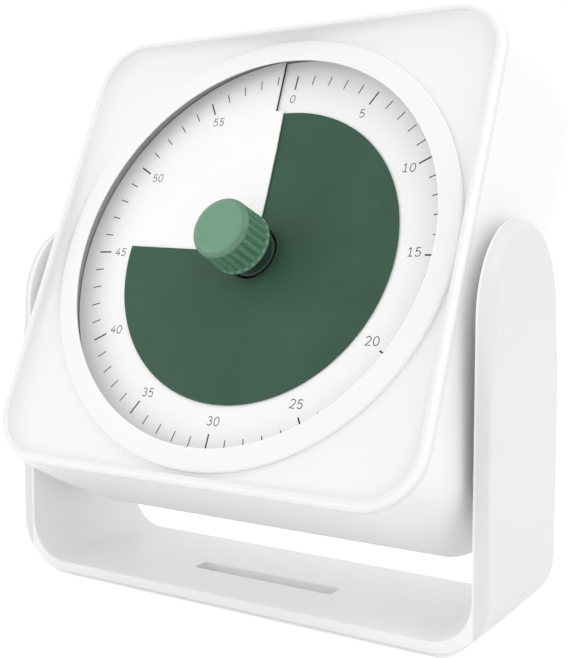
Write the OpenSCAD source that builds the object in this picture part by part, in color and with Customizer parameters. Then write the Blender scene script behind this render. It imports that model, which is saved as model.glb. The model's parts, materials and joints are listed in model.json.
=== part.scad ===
// Visual countdown timer. A square case tilts on two pivots in a U-shaped stand. A fluted knob turns a
// colour disc that is threaded through a cut in the dial plate, and a small quartz movement turns it back.
// Millimetres. X runs to the right, Y to the back, Z up; the origin is on the table at the middle of the stand.
// Pieces of the head are drawn in the face frame: x to the right, y up the face, z out of it. The dial's
// level is z = 0.

/* [Head] */
// Side of the square front lip
head_size = 190; // [180:1:200]
// Corner radius of the front lip
lip_corner = 23; // [20:1:27]
// Width of the thin lip round the face
lip_width = 3.8; // [3:0.2:5]
// Height of the lip above the dial
lip_rise = 14.4; // [13:0.2:17]
// Height of the lip's own edge, down to the joint with the case
lip_edge = 3.4; // [2.6:0.2:4]
// How far each side swells out behind the lip
side_swell = 2; // [1:0.25:3]
// Corner radius of the case at the back
back_corner = 30; // [27:1:34]
// Depth of the case behind the dial
case_depth = 62; // [60:1:68]
// Radius of the round edge of the back
back_round = 13; // [9:1:15]
// Wall of the case
case_wall = 2.5; // [2:0.1:3]

/* [Face] */
// Gap between the lip and the bezel ring at the middle of a side
bezel_gap = 2.4; // [2:0.1:4]
// Width of the flat bezel ring
bezel_width = 8.8; // [7:0.2:11]
// Height of the bezel ring above the dial
bezel_rise = 9.3; // [8:0.1:11]
// Thickness of the bezel ring at its opening
bezel_edge = 0.9; // [0.7:0.1:1.4]
// Depth of the dish below the bezel ring
dish_drop = 2; // [1.4:0.1:2.4]
// Depth of the dish below the lip
lip_drop = 2.2; // [1.4:0.1:3]
// Reach of the bezel ring's snap flange under the dish
snap_reach = 1; // [0.5:0.1:1.2]
// Thickness of the snap flange
snap_t = 1; // [0.6:0.1:1.4]
// Thickness of the dished face
dish_t = 1.6; // [1.2:0.1:2]
// Length of the skirt that enters the case
skirt_length = 13; // [8:1:14]
// Thickness of the skirt
skirt_t = 1.8; // [1.4:0.1:2.2]

/* [Dial] */
// How far the dial plate reaches under the bezel
plate_overlap = 5.5; // [4:0.5:7]
// Thickness of the dial plate
plate_t = 0.6; // [0.4:0.1:0.8]
// Depth of the plate's low side below the dial level
plate_drop = 0.8; // [0:0.1:1]
// Radius of the colour disc
disc_r = 61.5; // [58:0.5:66]
// Thickness of the colour disc
disc_t = 0.3; // [0.2:0.05:0.4]
// Running gap between colour disc and dial plate
disc_gap = 0.35; // [0.3:0.05:0.5]
// Turn of the inner cut left of zero at the disc's edge
inner_cut = 1.8; // [0:0.1:3]
// Distance that the outer cut stands left of zero near the disc
cut_shift = 6; // [5:0.1:7]
// Distance that the outer cut stands left of zero at the plate's edge
cut_shift_rim = 6.9; // [6:0.1:8]
// Minutes that the timer is set to
minutes_set = 45.4; // [5:0.2:55]
// Radius of the circle of posts that carry the plate
post_circle = 75; // [70:1:80]
// Radius of a plate post
post_r = 2; // [1.5:0.25:2.5]

/* [Knob] */
// Radius of the knob
knob_r = 12; // [11:0.25:13]
// Height of the knob's face above the dial
knob_rise = 25; // [22:0.5:27]
// Height of the knob's foot above the dial
knob_foot = 8; // [6:0.25:9]
// Number of flutes
flutes = 24; // [18:1:28]
// Depth of a flute
flute_depth = 0.7; // [0.3:0.05:1]
// Height of the plain ring below the flutes
foot_ring = 0.8; // [0.4:0.1:1.6]
// Chamfer round the knob's face
knob_chamfer = 1.5; // [0.8:0.1:2]
// Radius of the collar that drives the disc
collar_r = 9.9; // [9.5:0.1:10.2]
// Height of the collar's face above the dial
collar_rise = 1.5; // [1:0.1:2]
// Depth of the collar below the plate
collar_foot = 2.4; // [2:0.1:2.6]
// Radius of the neck between the collar and the knob
neck_r = 5; // [4:0.25:6]
// Width of the disc's hub, from the collar to its outside
hub_wall = 1.35; // [1.3:0.05:1.6]
// Wall of the hub's sleeve
sleeve_t = 0.45; // [0.4:0.05:0.5]
// Thickness of the hub's floor
hub_floor_t = 1; // [0.6:0.1:1.4]
// Width of a drive key on the collar
key_width = 2.4; // [1.6:0.2:3]
// Depth of a drive key
key_depth = 0.8; // [0.7:0.05:0.8]
// Radius of the spindle
spindle_r = 2; // [1.5:0.1:2.4]

/* [Stand] */
// Width of the band, front to back
band_w = 66.5; // [60:0.5:76]
// Thickness of an arm
arm_t = 6; // [5:0.25:8]
// Thickness of the base
base_t = 4.5; // [4:0.25:8]
// Outer radius of the two lower corners
stand_corner = 21.5; // [16:0.5:30]
// Radius of the dome on an arm's outer edge
arm_dome = 4.8; // [3:0.2:5]
// Height of the pivot above the table
pivot_h = 115; // [112:1:125]
// Lean of the head from upright
lean = 24; // [0:1:60]
// Largest lean, with the face straight up
lean_max = 90; // [75:1:90]
// Distance of the pivot below the dial's middle
pivot_drop = 14; // [8:1:18]
// Distance of the pivot behind the dial
pivot_deep = 20; // [18:0.5:24]
// Length of the slot in the base
slot_length = 66; // [40:1:90]
// Width of the slot in the base
slot_width = 8.6; // [6:0.2:12]
// Distance of the slot in front of the middle
slot_ahead = 5; // [0:0.5:10]
// Corner radius of the slot
slot_corner = 1.5; // [0.5:0.25:2.5]
// Thickness of the base pad
pad_t = 1; // [0.8:0.1:2]
// Inset of the base pad from the band's edge
pad_inset = 3.5; // [2:0.5:6]

/* [Pivots] */
// Radius of the pivot screw's shank
shank_r = 6; // [5:0.25:7]
// Radius of the pivot screw's threaded end
thread_r = 4; // [3:0.25:4.5]
// Length of the threaded end in the arm
thread_length = 3.8; // [3:0.2:3.8]
// Wall of the pivot bush
bush_wall = 2; // [1.5:0.1:2.4]
// Flange of the pivot bush
bush_flange = 1.5; // [1:0.1:2]
// Radius of the round pad on the case's side
side_pad_r = 17; // [16.5:0.25:18]
// Height of the side pad above the widest part of the case
side_pad_rise = 0.5; // [0.4:0.1:1]
// Inward length of the pivot boss
boss_length = 9; // [8:0.25:9.5]
// Gap between the side pad and an arm
side_gap = 3; // [2.4:0.1:4]
// Thickness of the spring washer
spring_washer_t = 1.6; // [1:0.1:2]
// Thickness of the pivot screw's head
pivot_head_t = 2.5; // [2:0.1:3]
// Radius of the stop peg on an arm
peg_r = 1.5; // [1:0.1:1.6]
// Distance of the stop peg from the pivot
peg_circle = 12.5; // [12:0.1:12.8]
// Length of the stop peg inside the case's side pad
peg_reach = 1.8; // [1:0.1:2.4]

/* [Chassis] */
// Depth of the chassis plate's front below the dial
chassis_drop = 6; // [5.5:0.25:6.5]
// Thickness of the chassis plate
chassis_t = 2; // [1.6:0.1:2.4]
// Thickness of the chassis wall
chassis_wall = 1.2; // [0.8:0.1:1.4]
// Distance of a chassis screw from the chassis wall
ear_out = 10.6; // [9:0.1:11.5]
// Turn of the chassis screws from the vertical
ear_turn = 35; // [30:1:38]
// Half width of an ear
ear_r = 5; // [4:0.25:5.5]
// Radius of the spindle bush
spindle_bush_r = 4; // [3.5:0.1:4.5]

/* [Case screws] */
// Distance of a case screw from the lip's edge
post_inset = 21; // [20:0.5:22]
// Radius of a screw tube in the case
tube_r = 5.5; // [5:0.25:6]
// Radius of a screw boss on the front frame
boss_r = 4.5; // [3.5:0.25:5]
// Radius of a case screw's shaft
case_screw_r = 1.5; // [1.2:0.1:2]
// Depth of the joint of tube and boss below the dial
tube_joint = 10; // [8:0.5:12]
// Radius of a chassis screw's shaft
small_screw_r = 1.2; // [1:0.1:1.4]
// Length of a case screw in its boss
screw_bite = 12; // [8:1:13]

/* [Movement] */
// Depth of the movement's case
movement_d = 22; // [21:0.5:24]
// Wall of the movement's case
movement_wall = 1.5; // [1.2:0.1:1.8]
// Radius of an arbor
arbor_r = 0.75; // [0.6:0.05:0.9]
// Module of the wheel teeth
tooth_module = 0.5; // [0.45:0.01:0.5]
// Teeth of the centre wheel
centre_teeth = 60; // [56:2:60]
// Teeth of the third wheel
third_teeth = 48; // [44:2:50]
// Teeth of the fourth wheel
fourth_teeth = 36; // [32:2:36]
// Teeth of each pinion
pinion_teeth = 12; // [12:1:13]
// Thickness of a wheel
wheel_t = 1.2; // [1:0.1:1.4]
// Radius of the rotor's magnet
magnet_r = 4; // [3:0.1:4.2]
// Radius of the drive coil
coil_r = 3.2; // [2.6:0.1:3.4]

/* [Battery] */
// Radius of the cell
cell_r = 7.1; // [7:0.05:7.25]
// Length of the cell with its nub
cell_length = 50.5; // [49.5:0.1:50.5]
// Height of the cell's middle above the lower edge of the head
cell_up = 35; // [34:0.5:37]
// Inner length of the battery bay
bay_length = 59; // [58:0.5:60]
// Clearance round the cell in the bay
bay_gap = 0.5; // [0.3:0.1:0.8]
// Thickness of the battery door
door_t = 2; // [1.6:0.1:2.2]
// Radius of the door's hinge knuckle
knuckle_r = 1.25; // [1.1:0.05:1.25]
// Radius of the door's hinge pins
door_pin_r = 0.8; // [0.6:0.05:0.85]
// Length of a door's hinge pin
door_pin_length = 2; // [1.5:0.25:2.5]

/* [Sound] */
// Length of the circuit board
board_l = 60; // [58:1:66]
// Width of the circuit board
board_w = 32; // [32:1:36]
// Thickness of the circuit board
board_t = 1.6; // [1:0.1:2]
// Height of the board's middle below the upper edge of the head
board_down = 55; // [53:1:59]
// Space between the board and the back wall
board_space = 8.5; // [8:0.25:10]
// Radius of the buzzer
buzzer_r = 11; // [9:0.5:12]
// Travel of the sound switch
switch_travel = 4; // [2:0.5:4.5]
// Length of the switch's thumb piece
thumb_l = 6; // [5:0.5:7]
// Width of the switch's thumb piece
thumb_w = 4; // [3:0.5:5]
// Height of the thumb piece above the back
thumb_rise = 1.4; // [1:0.1:2]

/* [Hidden] */
$fn = 64;

// Clearances: pieces fixed in each other, running fits, and loose gaps
fix_gap = 0.02;
run_gap = 0.05;
loose_gap = 0.3;
seat_gap = 0.1;
// Overhang of a cutting solid past the face that it cuts
past = 1;

// Head
head_half = head_size / 2;
widest_half = head_half + side_swell;
lip_foot = lip_rise - lip_edge;
lip_inner_half = head_half - lip_width;
lip_inner_corner = lip_corner - lip_width;
skirt_half = head_half - case_wall - loose_gap;
skirt_corner = lip_corner - case_wall - loose_gap;
back_inner = -case_depth + case_wall;

// Face
bezel_outer = lip_inner_half - bezel_gap;
opening_r = bezel_outer - bezel_width;
dish_low = bezel_rise - dish_drop;
dish_high = lip_rise - lip_drop;
dish_merge = 0.6;
ring_seat_gap = 0.15;

// Dial: plate, gap, disc and gap together make the rise of one turn
plate_r = opening_r + plate_overlap;
plate_z = -plate_drop;
rise_per_turn = plate_t + disc_t + 2 * disc_gap;
disc_angle = 6 * minutes_set;
collar_hub_gap = 0.35;
hub_inner = collar_r + collar_hub_gap;
hub_outer = hub_inner + hub_wall;
plate_hole_gap = 0.7;
plate_hole = hub_outer + plate_hole_gap;
hub_top = rise_per_turn + disc_gap;
hub_foot = 1.5;
key_top = hub_floor_t - hub_foot + rise_per_turn / 2;
collar_low = plate_z - collar_foot;
jog_half = 0.3;
jog_r = disc_r + 0.9;
plate_posts = 6;
turn_steps = 90;

// Chassis
chassis_back = -chassis_drop - chassis_t;
chassis_wall_gap = 0.7;
chassis_wall_r = plate_r + chassis_wall_gap;
chassis_rim = bezel_rise - bezel_edge - 0.2;
chassis_r = chassis_wall_r + chassis_wall;
ear_circle = chassis_r + ear_out;
small_head_r = 2.8;
small_head_t = 2;
screw_fit = 0.1;
hub_tube_wall = 2.5;
spindle_flange_r = 5.5;
spindle_flange_t = 0.5;
spindle_flange_z = collar_low - loose_gap;

// Case screws
post_uv = head_half - post_inset;
case_head_r = 3.2;
case_head_t = 2.8;
tube_web = 4;
ear_boss_top = dish_low + 0.15;
corner_boss_top = dish_low + 0.4;

// Pivots, with the x positions of the right side
side_pad_x = widest_half + side_pad_rise;
arm_inner = side_pad_x + side_gap;
arm_outer = arm_inner + arm_t;
boss_inner = side_pad_x - boss_length;
bush_r = shank_r + run_gap + bush_wall;
bush_flange_r = bush_r + 2;
washer_r = bush_r + 1.5;
flange_inner = boss_inner - bush_flange;
spring_outer = flange_inner - 0.2;
pivot_head_outer = spring_outer - spring_washer_t - 0.2;
pivot_head_inner = pivot_head_outer - pivot_head_t;
pivot_head_r = bush_r + 1.4;
socket_r = 2.9;
socket_depth = 1.5;
peg_clear = 0.5;
stop_margin = asin((peg_r + loose_gap) / peg_circle);

// Stand
base_under = pad_t;
base_top = base_under + base_t;
inner_corner = stand_corner - (arm_t + base_t) / 2;
arm_r = band_w / 2;

// Movement: layers from front to back, all behind the chassis
movement_front_z = chassis_back;
movement_back_z = movement_front_z - movement_d;
front_floor = movement_front_z - movement_wall;
back_floor = movement_back_z + movement_wall;
movement_front_d = 10;
movement_seam = movement_front_z - movement_front_d;
movement_left = -24;
movement_right = 46;
movement_low = -44;
movement_high = 22;
column_r = 3;
column_inset = 3.5;
layer_gap = 2.2;
centre_layer = front_floor - 2.5;
third_layer = centre_layer - wheel_t - layer_gap;
fourth_layer = third_layer - wheel_t - 1.8;
magnet_layer = fourth_layer - wheel_t - 2.9;
magnet_t = 3;
stator_t = 1;
stator_z = magnet_layer - magnet_t / 2;
pinion_over = 0.5;
rotor_shaft_r = 0.5;

// Wheel centres: each is as far from the one before as their pitch radii add up to
function pitch_r(teeth) = tooth_module * teeth / 2;
third_way = -90;
fourth_way = -30;
rotor_way = 0;
centre_at = [0, 0];
third_at = centre_at + polar(pitch_r(centre_teeth) + pitch_r(pinion_teeth), third_way);
fourth_at = third_at + polar(pitch_r(third_teeth) + pitch_r(pinion_teeth), fourth_way);
rotor_at = fourth_at + polar(pitch_r(fourth_teeth) + pitch_r(pinion_teeth), rotor_way);
coil_reach = 13;
coil_at_x = rotor_at.x + coil_reach;
coil_half = 8.7;
stator_leg = 2.8;
lead_step = 6;
stator_reach = magnet_r + 1.5;

// Battery
cell_low = head_half - cell_up;
cell_z = -case_depth + door_t + cell_r + 0.7;
bay_half = bay_length / 2;
bay_half_v = cell_r + bay_gap;
bay_floor = cell_z + cell_r + 0.2;
bay_wall = 1.5;
contact_t = 0.4;
contact_v = 6;
tab_v = 2;
tab_rise = 2.2;
nub_r = 2.7;
nub_h = 1;
cell_right = bay_half - contact_t - seat_gap - 0.1;
cell_left = cell_right - cell_length;
door_axis_y = -cell_low - bay_half_v - 6.4;
door_axis_z = -case_depth + knuckle_r;
door_top = -cell_low + bay_half_v + 4;
door_half = bay_half + bay_wall;
door_gap = 0.4;
ledge_t = 1.5;
notch_half = 6;
notch_w = 3;
wire_r = 0.6;
bend_swell = 0.05;
wire_layer = movement_back_z - 6;
wire_rise = 2;

// Circuit board
board_up = head_half - board_down;
board_z = back_inner + board_space;
board_hole_inset_x = 4;
board_hole_inset_y = 4;
board_post_r = 2.6;
board_screw_r = 1.1;
board_head_r = 2.2;
board_head_t = 1.4;
switch_x = 20;
slot_gap = 0.3;
slider_t = 1;
slider_v = 6.5;
slider_z = back_inner + 0.7;
buzzer_x = -10;
wire_end_x = 14;
wire_end_y = board_up - board_w / 2 + 2.5;

// ---- Helpers ----

// Point at a distance and an angle
function polar(r, a) = [r * cos(a), r * sin(a)];

// Cylinder between two heights
module drum(r, z0, z1) {
    translate([0, 0, z0])
        cylinder(r = r, h = z1 - z0);
}

// Ring between two heights
module collar(r_in, r_out, z0, z1) {
    difference() {
        drum(r_out, z0, z1);
        drum(r_in, z0 - past, z1 + past);
    }
}

// Block between two corners
module block(low, high) {
    translate(low)
        cube(high - low);
}

// Rectangle with true round corners, about its middle
module rounded_rect(x, y, r) {
    square([x - 2 * r, y], center = true);
    square([x, y - 2 * r], center = true);
    for (sx = [-1, 1], sy = [-1, 1])
        translate([sx * (x / 2 - r), sy * (y / 2 - r)])
            circle(r = r);
}

// Moves pieces drawn in the face frame to their place on the leaning head
module on_head() {
    translate([0, 0, pivot_h])
        rotate([90 - lean, 0, 0])
            translate([0, pivot_drop, pivot_deep])
                children();
}

// Draws its children once on each side, with z pointing outwards along the pivot
module at_pivots() {
    for (side = [0, 1])
        mirror([side, 0, 0])
            translate([0, -pivot_drop, -pivot_deep])
                rotate([0, 90, 0])
                    children();
}

// The four corners of the case, where its long screws are
module at_case_screws() {
    for (sx = [-1, 1], sy = [-1, 1])
        translate([sx * post_uv, sy * post_uv, 0])
            children();
}

// The four ears of the chassis
module at_ears() {
    for (i = [0 : 3])
        rotate([0, 0, ear_turn + 90 * i])
            children();
}

// The four columns of the movement's case
module at_columns() {
    for (x = [movement_left + column_inset, movement_right - column_inset])
        for (y = [movement_low + column_inset, movement_high - column_inset])
            translate([x, y, 0])
                children();
}

// The four holes of the circuit board
module at_board_holes() {
    for (sx = [-1, 1], sy = [-1, 1])
        translate([sx * (board_l / 2 - board_hole_inset_x),
                   board_up + sy * (board_w / 2 - board_hole_inset_y), 0])
            children();
}

// ---- Lofted case: rounded squares of half side, corner radius and height, joined by flat triangles ----

corner_steps = 8;
function square_ring(half, r) = [
    for (q = [0 : 3], i = [0 : corner_steps])
        let (a = 90 * q + 90 * i / corner_steps,
             sx = (q == 0 || q == 3) ? 1 : -1,
             sy = (q < 2) ? 1 : -1)
        [sx * (half - r) + r * cos(a), sy * (half - r) + r * sin(a)]
];
ring_points = 4 * (corner_steps + 1);

module loft(sections) {
    rows = len(sections);
    points = [for (s = sections, p = square_ring(s[0], s[1])) [p.x, p.y, s[2]]];
    sides = [for (k = [0 : rows - 2], j = [0 : ring_points - 1])
                 let (a = k * ring_points + j,
                      b = k * ring_points + (j + 1) % ring_points)
                 each [[a, b, a + ring_points], [b, b + ring_points, a + ring_points]]];
    front = [[for (j = [ring_points - 1 : -1 : 0]) j]];
    back = [[for (j = [0 : ring_points - 1]) (rows - 1) * ring_points + j]];
    polyhedron(points = points, faces = concat(sides, front, back), convexity = 4);
}

// Outside of the case, or its inside when inset by the wall, from the joint with the lip to the back
round_steps = 6;
mid_swell = 0.7;
mid_drop = 19;
full_drop = 36;
function case_sections(inset, top) = concat(
    [[head_half - inset, lip_corner - inset, top],
     [head_half + mid_swell * side_swell - inset,
      lip_corner + (back_corner - lip_corner) / 4 - inset, lip_foot - mid_drop],
     [widest_half - inset,
      lip_corner + (back_corner - lip_corner) / 2 - inset, lip_foot - full_drop]],
    [for (i = [0 : round_steps])
        let (a = 90 * i / round_steps,
             shrink = (back_round - inset) * (1 - cos(a)))
        [widest_half - inset - shrink, back_corner - inset - shrink,
         -case_depth + back_round - (back_round - inset) * sin(a)]]);

// ---- Dished face: from the bezel ring out to the rounded square of the lip ----

function square_reach(half, r, a) =
    let (c = abs(cos(a)),
         s = abs(sin(a)),
         flat_hit = half / max(c, s),
         along = (half - r) * (c + s))
    flat_hit * min(c, s) <= half - r
        ? flat_hit
        : along + sqrt(r * r - 2 * (half - r) * (half - r) + along * along);

dish_turns = 72;
dish_rings = 5;
module dish_shell() {
    r_in = bezel_outer + ring_seat_gap;
    half_out = lip_inner_half + dish_merge;
    layer = (dish_rings + 1) * dish_turns;
    grid = [for (k = [0 : dish_rings], j = [0 : dish_turns - 1])
                let (a = 360 * j / dish_turns,
                     s = k / dish_rings,
                     r = r_in + s * (square_reach(half_out, lip_inner_corner + dish_merge, a) - r_in))
                [r * cos(a), r * sin(a), dish_low + (dish_high - dish_low) * s * s]];
    points = concat(grid, [for (p = grid) p - [0, 0, dish_t]]);
    top = [for (k = [0 : dish_rings - 1], j = [0 : dish_turns - 1])
               let (a = k * dish_turns + j,
                    b = k * dish_turns + (j + 1) % dish_turns)
               each [[a, b, a + dish_turns], [b, b + dish_turns, a + dish_turns]]];
    under = [for (f = top) [f[2] + layer, f[1] + layer, f[0] + layer]];
    rims = [for (k = [0, dish_rings], j = [0 : dish_turns - 1])
                let (a = k * dish_turns + j,
                     b = k * dish_turns + (j + 1) % dish_turns,
                     p = k == 0 ? b : a,
                     q = k == 0 ? a : b)
                each [[p, p + layer, q + layer], [p, q + layer, q]]];
    polyhedron(points = points, faces = concat(top, under, rims), convexity = 6);
}

// ---- Helicoid sheets: one turn that climbs clockwise, with rows of radius, start angle and thickness ----

// A row is [radius, start angle]; the sheet's face is at height z0 plus the climb up to its angle
module helicoid(rows, z0, thick) {
    n = len(rows);
    columns = turn_steps + 1;
    layer = n * columns;
    grid = [for (row = rows, j = [0 : turn_steps])
                let (a = row[1] + 360 * j / turn_steps)
                [row[0] * sin(a), row[0] * cos(a), z0 + rise_per_turn * a / 360]];
    points = concat(grid, [for (p = grid) p - [0, 0, thick]]);
    top = [for (k = [0 : n - 2], j = [0 : turn_steps - 1])
               let (a = k * columns + j)
               each [[a, a + columns, a + 1], [a + 1, a + columns, a + columns + 1]]];
    under = [for (f = top) [f[2] + layer, f[1] + layer, f[0] + layer]];
    rims = [for (k = [0, n - 1], j = [0 : turn_steps - 1])
                let (a = k * columns + j,
                     p = k == 0 ? a : a + 1,
                     q = k == 0 ? a + 1 : a)
                each [[p, q, q + layer], [p, q + layer, p + layer]]];
    ends = [for (j = [0, turn_steps], k = [0 : n - 2])
                let (a = k * columns + j,
                     p = j == 0 ? a + columns : a,
                     q = j == 0 ? a : a + columns)
                each [[p, q, q + layer], [p, q + layer, p + layer]]];
    polyhedron(points = points, faces = concat(top, under, rims, ends), convexity = 8);
}

// ---- Gears: involute flanks of 20 degrees, thinned for backlash ----

pressure = 20;
tooth_share = 0.43;
function inv(a) = tan(a) - a * PI / 180;
function flank(teeth, r) =
    let (rp = pitch_r(teeth),
         rb = rp * cos(pressure),
         turn = inv(pressure) - inv(acos(min(1, rb / max(r, rb)))))
    180 * tooth_share / teeth + turn * 180 / PI;
module gear(teeth, phase, bore, z0, z1) {
    rp = pitch_r(teeth);
    radii = [rp - 1.15 * tooth_module, rp, rp + 0.85 * tooth_module];
    points = [for (t = [0 : teeth - 1])
                  let (mid = phase + 360 * t / teeth)
                  each concat([for (r = radii) polar(r, mid - flank(teeth, r))],
                              [for (i = [len(radii) - 1 : -1 : 0])
                                  polar(radii[i], mid + flank(teeth, radii[i]))])];
    translate([0, 0, z0])
        difference() {
            linear_extrude(z1 - z0)
                polygon(points);
            drum(bore, -past, z1 - z0 + past);
        }
}

// Turn of a gear so that its gap meets a tooth of the gear before it, which lies in direction way + 180
function mesh_phase(teeth_a, phase_a, teeth_b, way) =
    way + 180 - (0.5 - (way - phase_a) * teeth_a / 360) * 360 / teeth_b;
third_phase = mesh_phase(centre_teeth, 0, pinion_teeth, third_way);
fourth_phase = mesh_phase(third_teeth, 0, pinion_teeth, fourth_way);
rotor_phase = mesh_phase(fourth_teeth, 0, pinion_teeth, rotor_way);

// Round wire through a list of points, with round corners
module wire(points) {
    for (i = [0 : len(points) - 2]) {
        step = points[i + 1] - points[i];
        length = norm(step);
        translate(points[i])
            rotate([0, acos(step.z / length), atan2(step.y, step.x)])
                cylinder(r = wire_r, h = length);
    }
    for (i = [1 : len(points) - 2])
        translate(points[i])
            sphere(r = wire_r + bend_swell);
}

// ---- Stand ----

module stand() {
    color("whitesmoke")
        difference() {
            union() {
                rotate([90, 0, 0])
                    linear_extrude(band_w, center = true)
                        band_outline();
                for (side = [0, 1])
                    mirror([side, 0, 0])
                        translate([arm_inner, 0, pivot_h])
                            rotate([0, 90, 0])
                                rotate_extrude($fn = 128)
                                    arm_end_outline();
                stop_pegs();
            }
            translate([0, -slot_ahead, base_under - past])
                linear_extrude(base_t + 2 * past)
                    rounded_rect(slot_length, slot_width, slot_corner);
            for (side = [0, 1])
                mirror([side, 0, 0])
                    translate([arm_inner - past, 0, pivot_h])
                        rotate([0, 90, 0])
                            cylinder(r = thread_r + fix_gap, h = past + thread_length + seat_gap);
        }
}

// The U of the band, seen from the front, up to the height of the pivots
module band_outline() {
    tall = 2 * (pivot_h - base_under);
    tall_inside = 2 * (pivot_h + past - base_top);
    difference() {
        intersection() {
            translate([0, pivot_h])
                rounded_rect(2 * arm_outer, tall, stand_corner);
            translate([-arm_outer, base_under])
                square([2 * arm_outer, pivot_h - base_under]);
        }
        translate([0, pivot_h + past])
            rounded_rect(2 * arm_inner, tall_inside, inner_corner);
    }
}

// Half section of an arm's round end, with a domed outer edge
module arm_end_outline() {
    square([arm_r - arm_dome, arm_t]);
    square([arm_r, arm_t - arm_dome]);
    translate([arm_r - arm_dome, arm_t - arm_dome])
        intersection() {
            circle(r = arm_dome);
            square(arm_dome);
        }
}

// Pegs that run in the grooves of the side pads and end the tilt
module stop_pegs() {
    for (side = [-1, 1])
        translate([side * (side_pad_x - peg_reach), 0, pivot_h - peg_circle])
            rotate([0, 90 * side, 0])
                cylinder(r = peg_r, h = side_gap + peg_reach + past, $fn = 32);
}

module base_pad() {
    color("dimgray")
        difference() {
            linear_extrude(pad_t)
                rounded_rect(2 * (arm_outer - stand_corner), band_w - 2 * pad_inset, stand_corner / 4);
            translate([0, -slot_ahead, -past])
                linear_extrude(pad_t + 2 * past)
                    rounded_rect(slot_length, slot_width, slot_corner);
        }
}

module pivot_screws() {
    color("silver")
        on_head()
            at_pivots()
                difference() {
                    union() {
                        drum(thread_r, arm_inner - past, arm_inner + thread_length);
                        drum(shank_r, pivot_head_outer, arm_inner);
                        drum(pivot_head_r, pivot_head_inner, pivot_head_outer);
                    }
                    translate([0, 0, pivot_head_inner - past])
                        cylinder(r = socket_r, h = past + socket_depth, $fn = 6);
                }
}

module friction_washers() {
    color("dimgray")
        on_head()
            at_pivots()
                collar(shank_r + run_gap, washer_r, side_pad_x + seat_gap, arm_inner);
}

module spring_washers() {
    color("silver")
        on_head()
            at_pivots()
                collar(shank_r + run_gap, washer_r - 0.5, pivot_head_outer + seat_gap,
                       pivot_head_outer + seat_gap + spring_washer_t);
}

// ---- Case of the head ----

module front_frame() {
    color("white")
        on_head()
            difference() {
                union() {
                    lip_and_skirt();
                    dish_shell();
                    at_case_screws()
                        drum(boss_r, -tube_joint, corner_boss_top);
                    at_ears()
                        translate([0, ear_circle, 0])
                            drum(small_head_r + 0.7, -chassis_drop, ear_boss_top);
                }
                at_case_screws()
                    drum(case_screw_r + screw_fit, -tube_joint - past, screw_bite - tube_joint + 1.5);
                at_ears()
                    translate([0, ear_circle, 0])
                        drum(small_screw_r + screw_fit, -chassis_drop - past, 3);
            }
}

module lip_and_skirt() {
    difference() {
        union() {
            translate([0, 0, lip_foot])
                linear_extrude(lip_edge)
                    rounded_rect(head_size, head_size, lip_corner);
            translate([0, 0, lip_foot - skirt_length])
                linear_extrude(skirt_length + past)
                    rounded_rect(2 * skirt_half, 2 * skirt_half, skirt_corner);
        }
        translate([0, 0, dish_low])
            linear_extrude(lip_rise)
                rounded_rect(2 * lip_inner_half, 2 * lip_inner_half, lip_inner_corner);
        translate([0, 0, lip_foot - skirt_length - past])
            linear_extrude(lip_rise)
                rounded_rect(2 * (skirt_half - skirt_t), 2 * (skirt_half - skirt_t), skirt_corner - skirt_t);
    }
}

// Flat ring with a thin inner edge, and a foot whose flange snaps under the dish
module bezel_ring() {
    foot_r = chassis_r + loose_gap;
    seat = dish_low - dish_t - fix_gap;
    color("white")
        on_head()
            rotate_extrude($fn = 128)
                polygon([[opening_r, bezel_rise - bezel_edge],
                         [foot_r, bezel_rise - bezel_edge],
                         [foot_r, seat - snap_t],
                         [bezel_outer + snap_reach, seat - snap_t],
                         [bezel_outer + snap_reach, seat],
                         [bezel_outer, seat],
                         [bezel_outer, bezel_rise],
                         [opening_r, bezel_rise]]);
}

module rear_case() {
    color("white")
        on_head()
            difference() {
                union() {
                    difference() {
                        loft(case_sections(0, lip_foot));
                        loft(case_sections(case_wall, lip_foot + past));
                    }
                    at_pivots()
                        drum(side_pad_r, boss_inner, side_pad_x);
                    at_case_screws()
                        drum(tube_r, back_inner - case_wall / 2, -tube_joint);
                    battery_bay();
                    at_board_holes()
                        drum(board_post_r, back_inner - case_wall / 2, board_z);
                }
                at_pivots() {
                    drum(bush_r + fix_gap, boss_inner - past, side_pad_x + past);
                    stop_groove();
                }
                at_case_screws() {
                    drum(case_head_r + loose_gap, -case_depth - past, -tube_joint - tube_web);
                    drum(case_screw_r + loose_gap, -case_depth, -tube_joint + past);
                }
                at_board_holes()
                    drum(board_screw_r + screw_fit, back_inner + past, board_z + past);
                bay_cuts();
                sound_holes();
                switch_slot();
            }
}

// Groove in a side pad for the stop peg, from upright to face up
module stop_groove() {
    translate([0, 0, side_pad_x - peg_reach - peg_clear])
        rotate([0, 0, -90 - stop_margin])
            rotate_extrude(angle = lean_max + 2 * stop_margin)
                translate([peg_circle - peg_r - loose_gap, 0])
                    square([2 * (peg_r + loose_gap), peg_reach + peg_clear + past]);
}

// Walls and floor round the cell, with ledges that close the wall beside the door
module battery_bay() {
    outer_v = bay_half_v + bay_wall;
    difference() {
        union() {
            block([-door_half, -cell_low - outer_v, -case_depth + door_t + loose_gap],
                  [door_half, -cell_low + outer_v, bay_floor + bay_wall]);
            block([-door_half - past, -cell_low + bay_half_v, -case_depth + door_t + loose_gap],
                  [door_half + past, door_top + 2, -case_depth + door_t + loose_gap + ledge_t]);
            block([-door_half - past, door_axis_y - knuckle_r - 2, door_axis_z + knuckle_r + loose_gap],
                  [door_half + past, -cell_low - bay_half_v, door_axis_z + knuckle_r + loose_gap + ledge_t]);
        }
        block([-bay_half, -cell_low - bay_half_v, -case_depth],
              [bay_half, -cell_low + bay_half_v, bay_floor]);
        for (side = [-1, 1])
            translate([side * (bay_half - contact_t / 2), -cell_low, bay_floor])
                block([-contact_t / 2 - 0.1, -tab_v - 0.1, -past],
                      [contact_t / 2 + 0.1, tab_v + 0.1, bay_wall + past]);
    }
}

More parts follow.
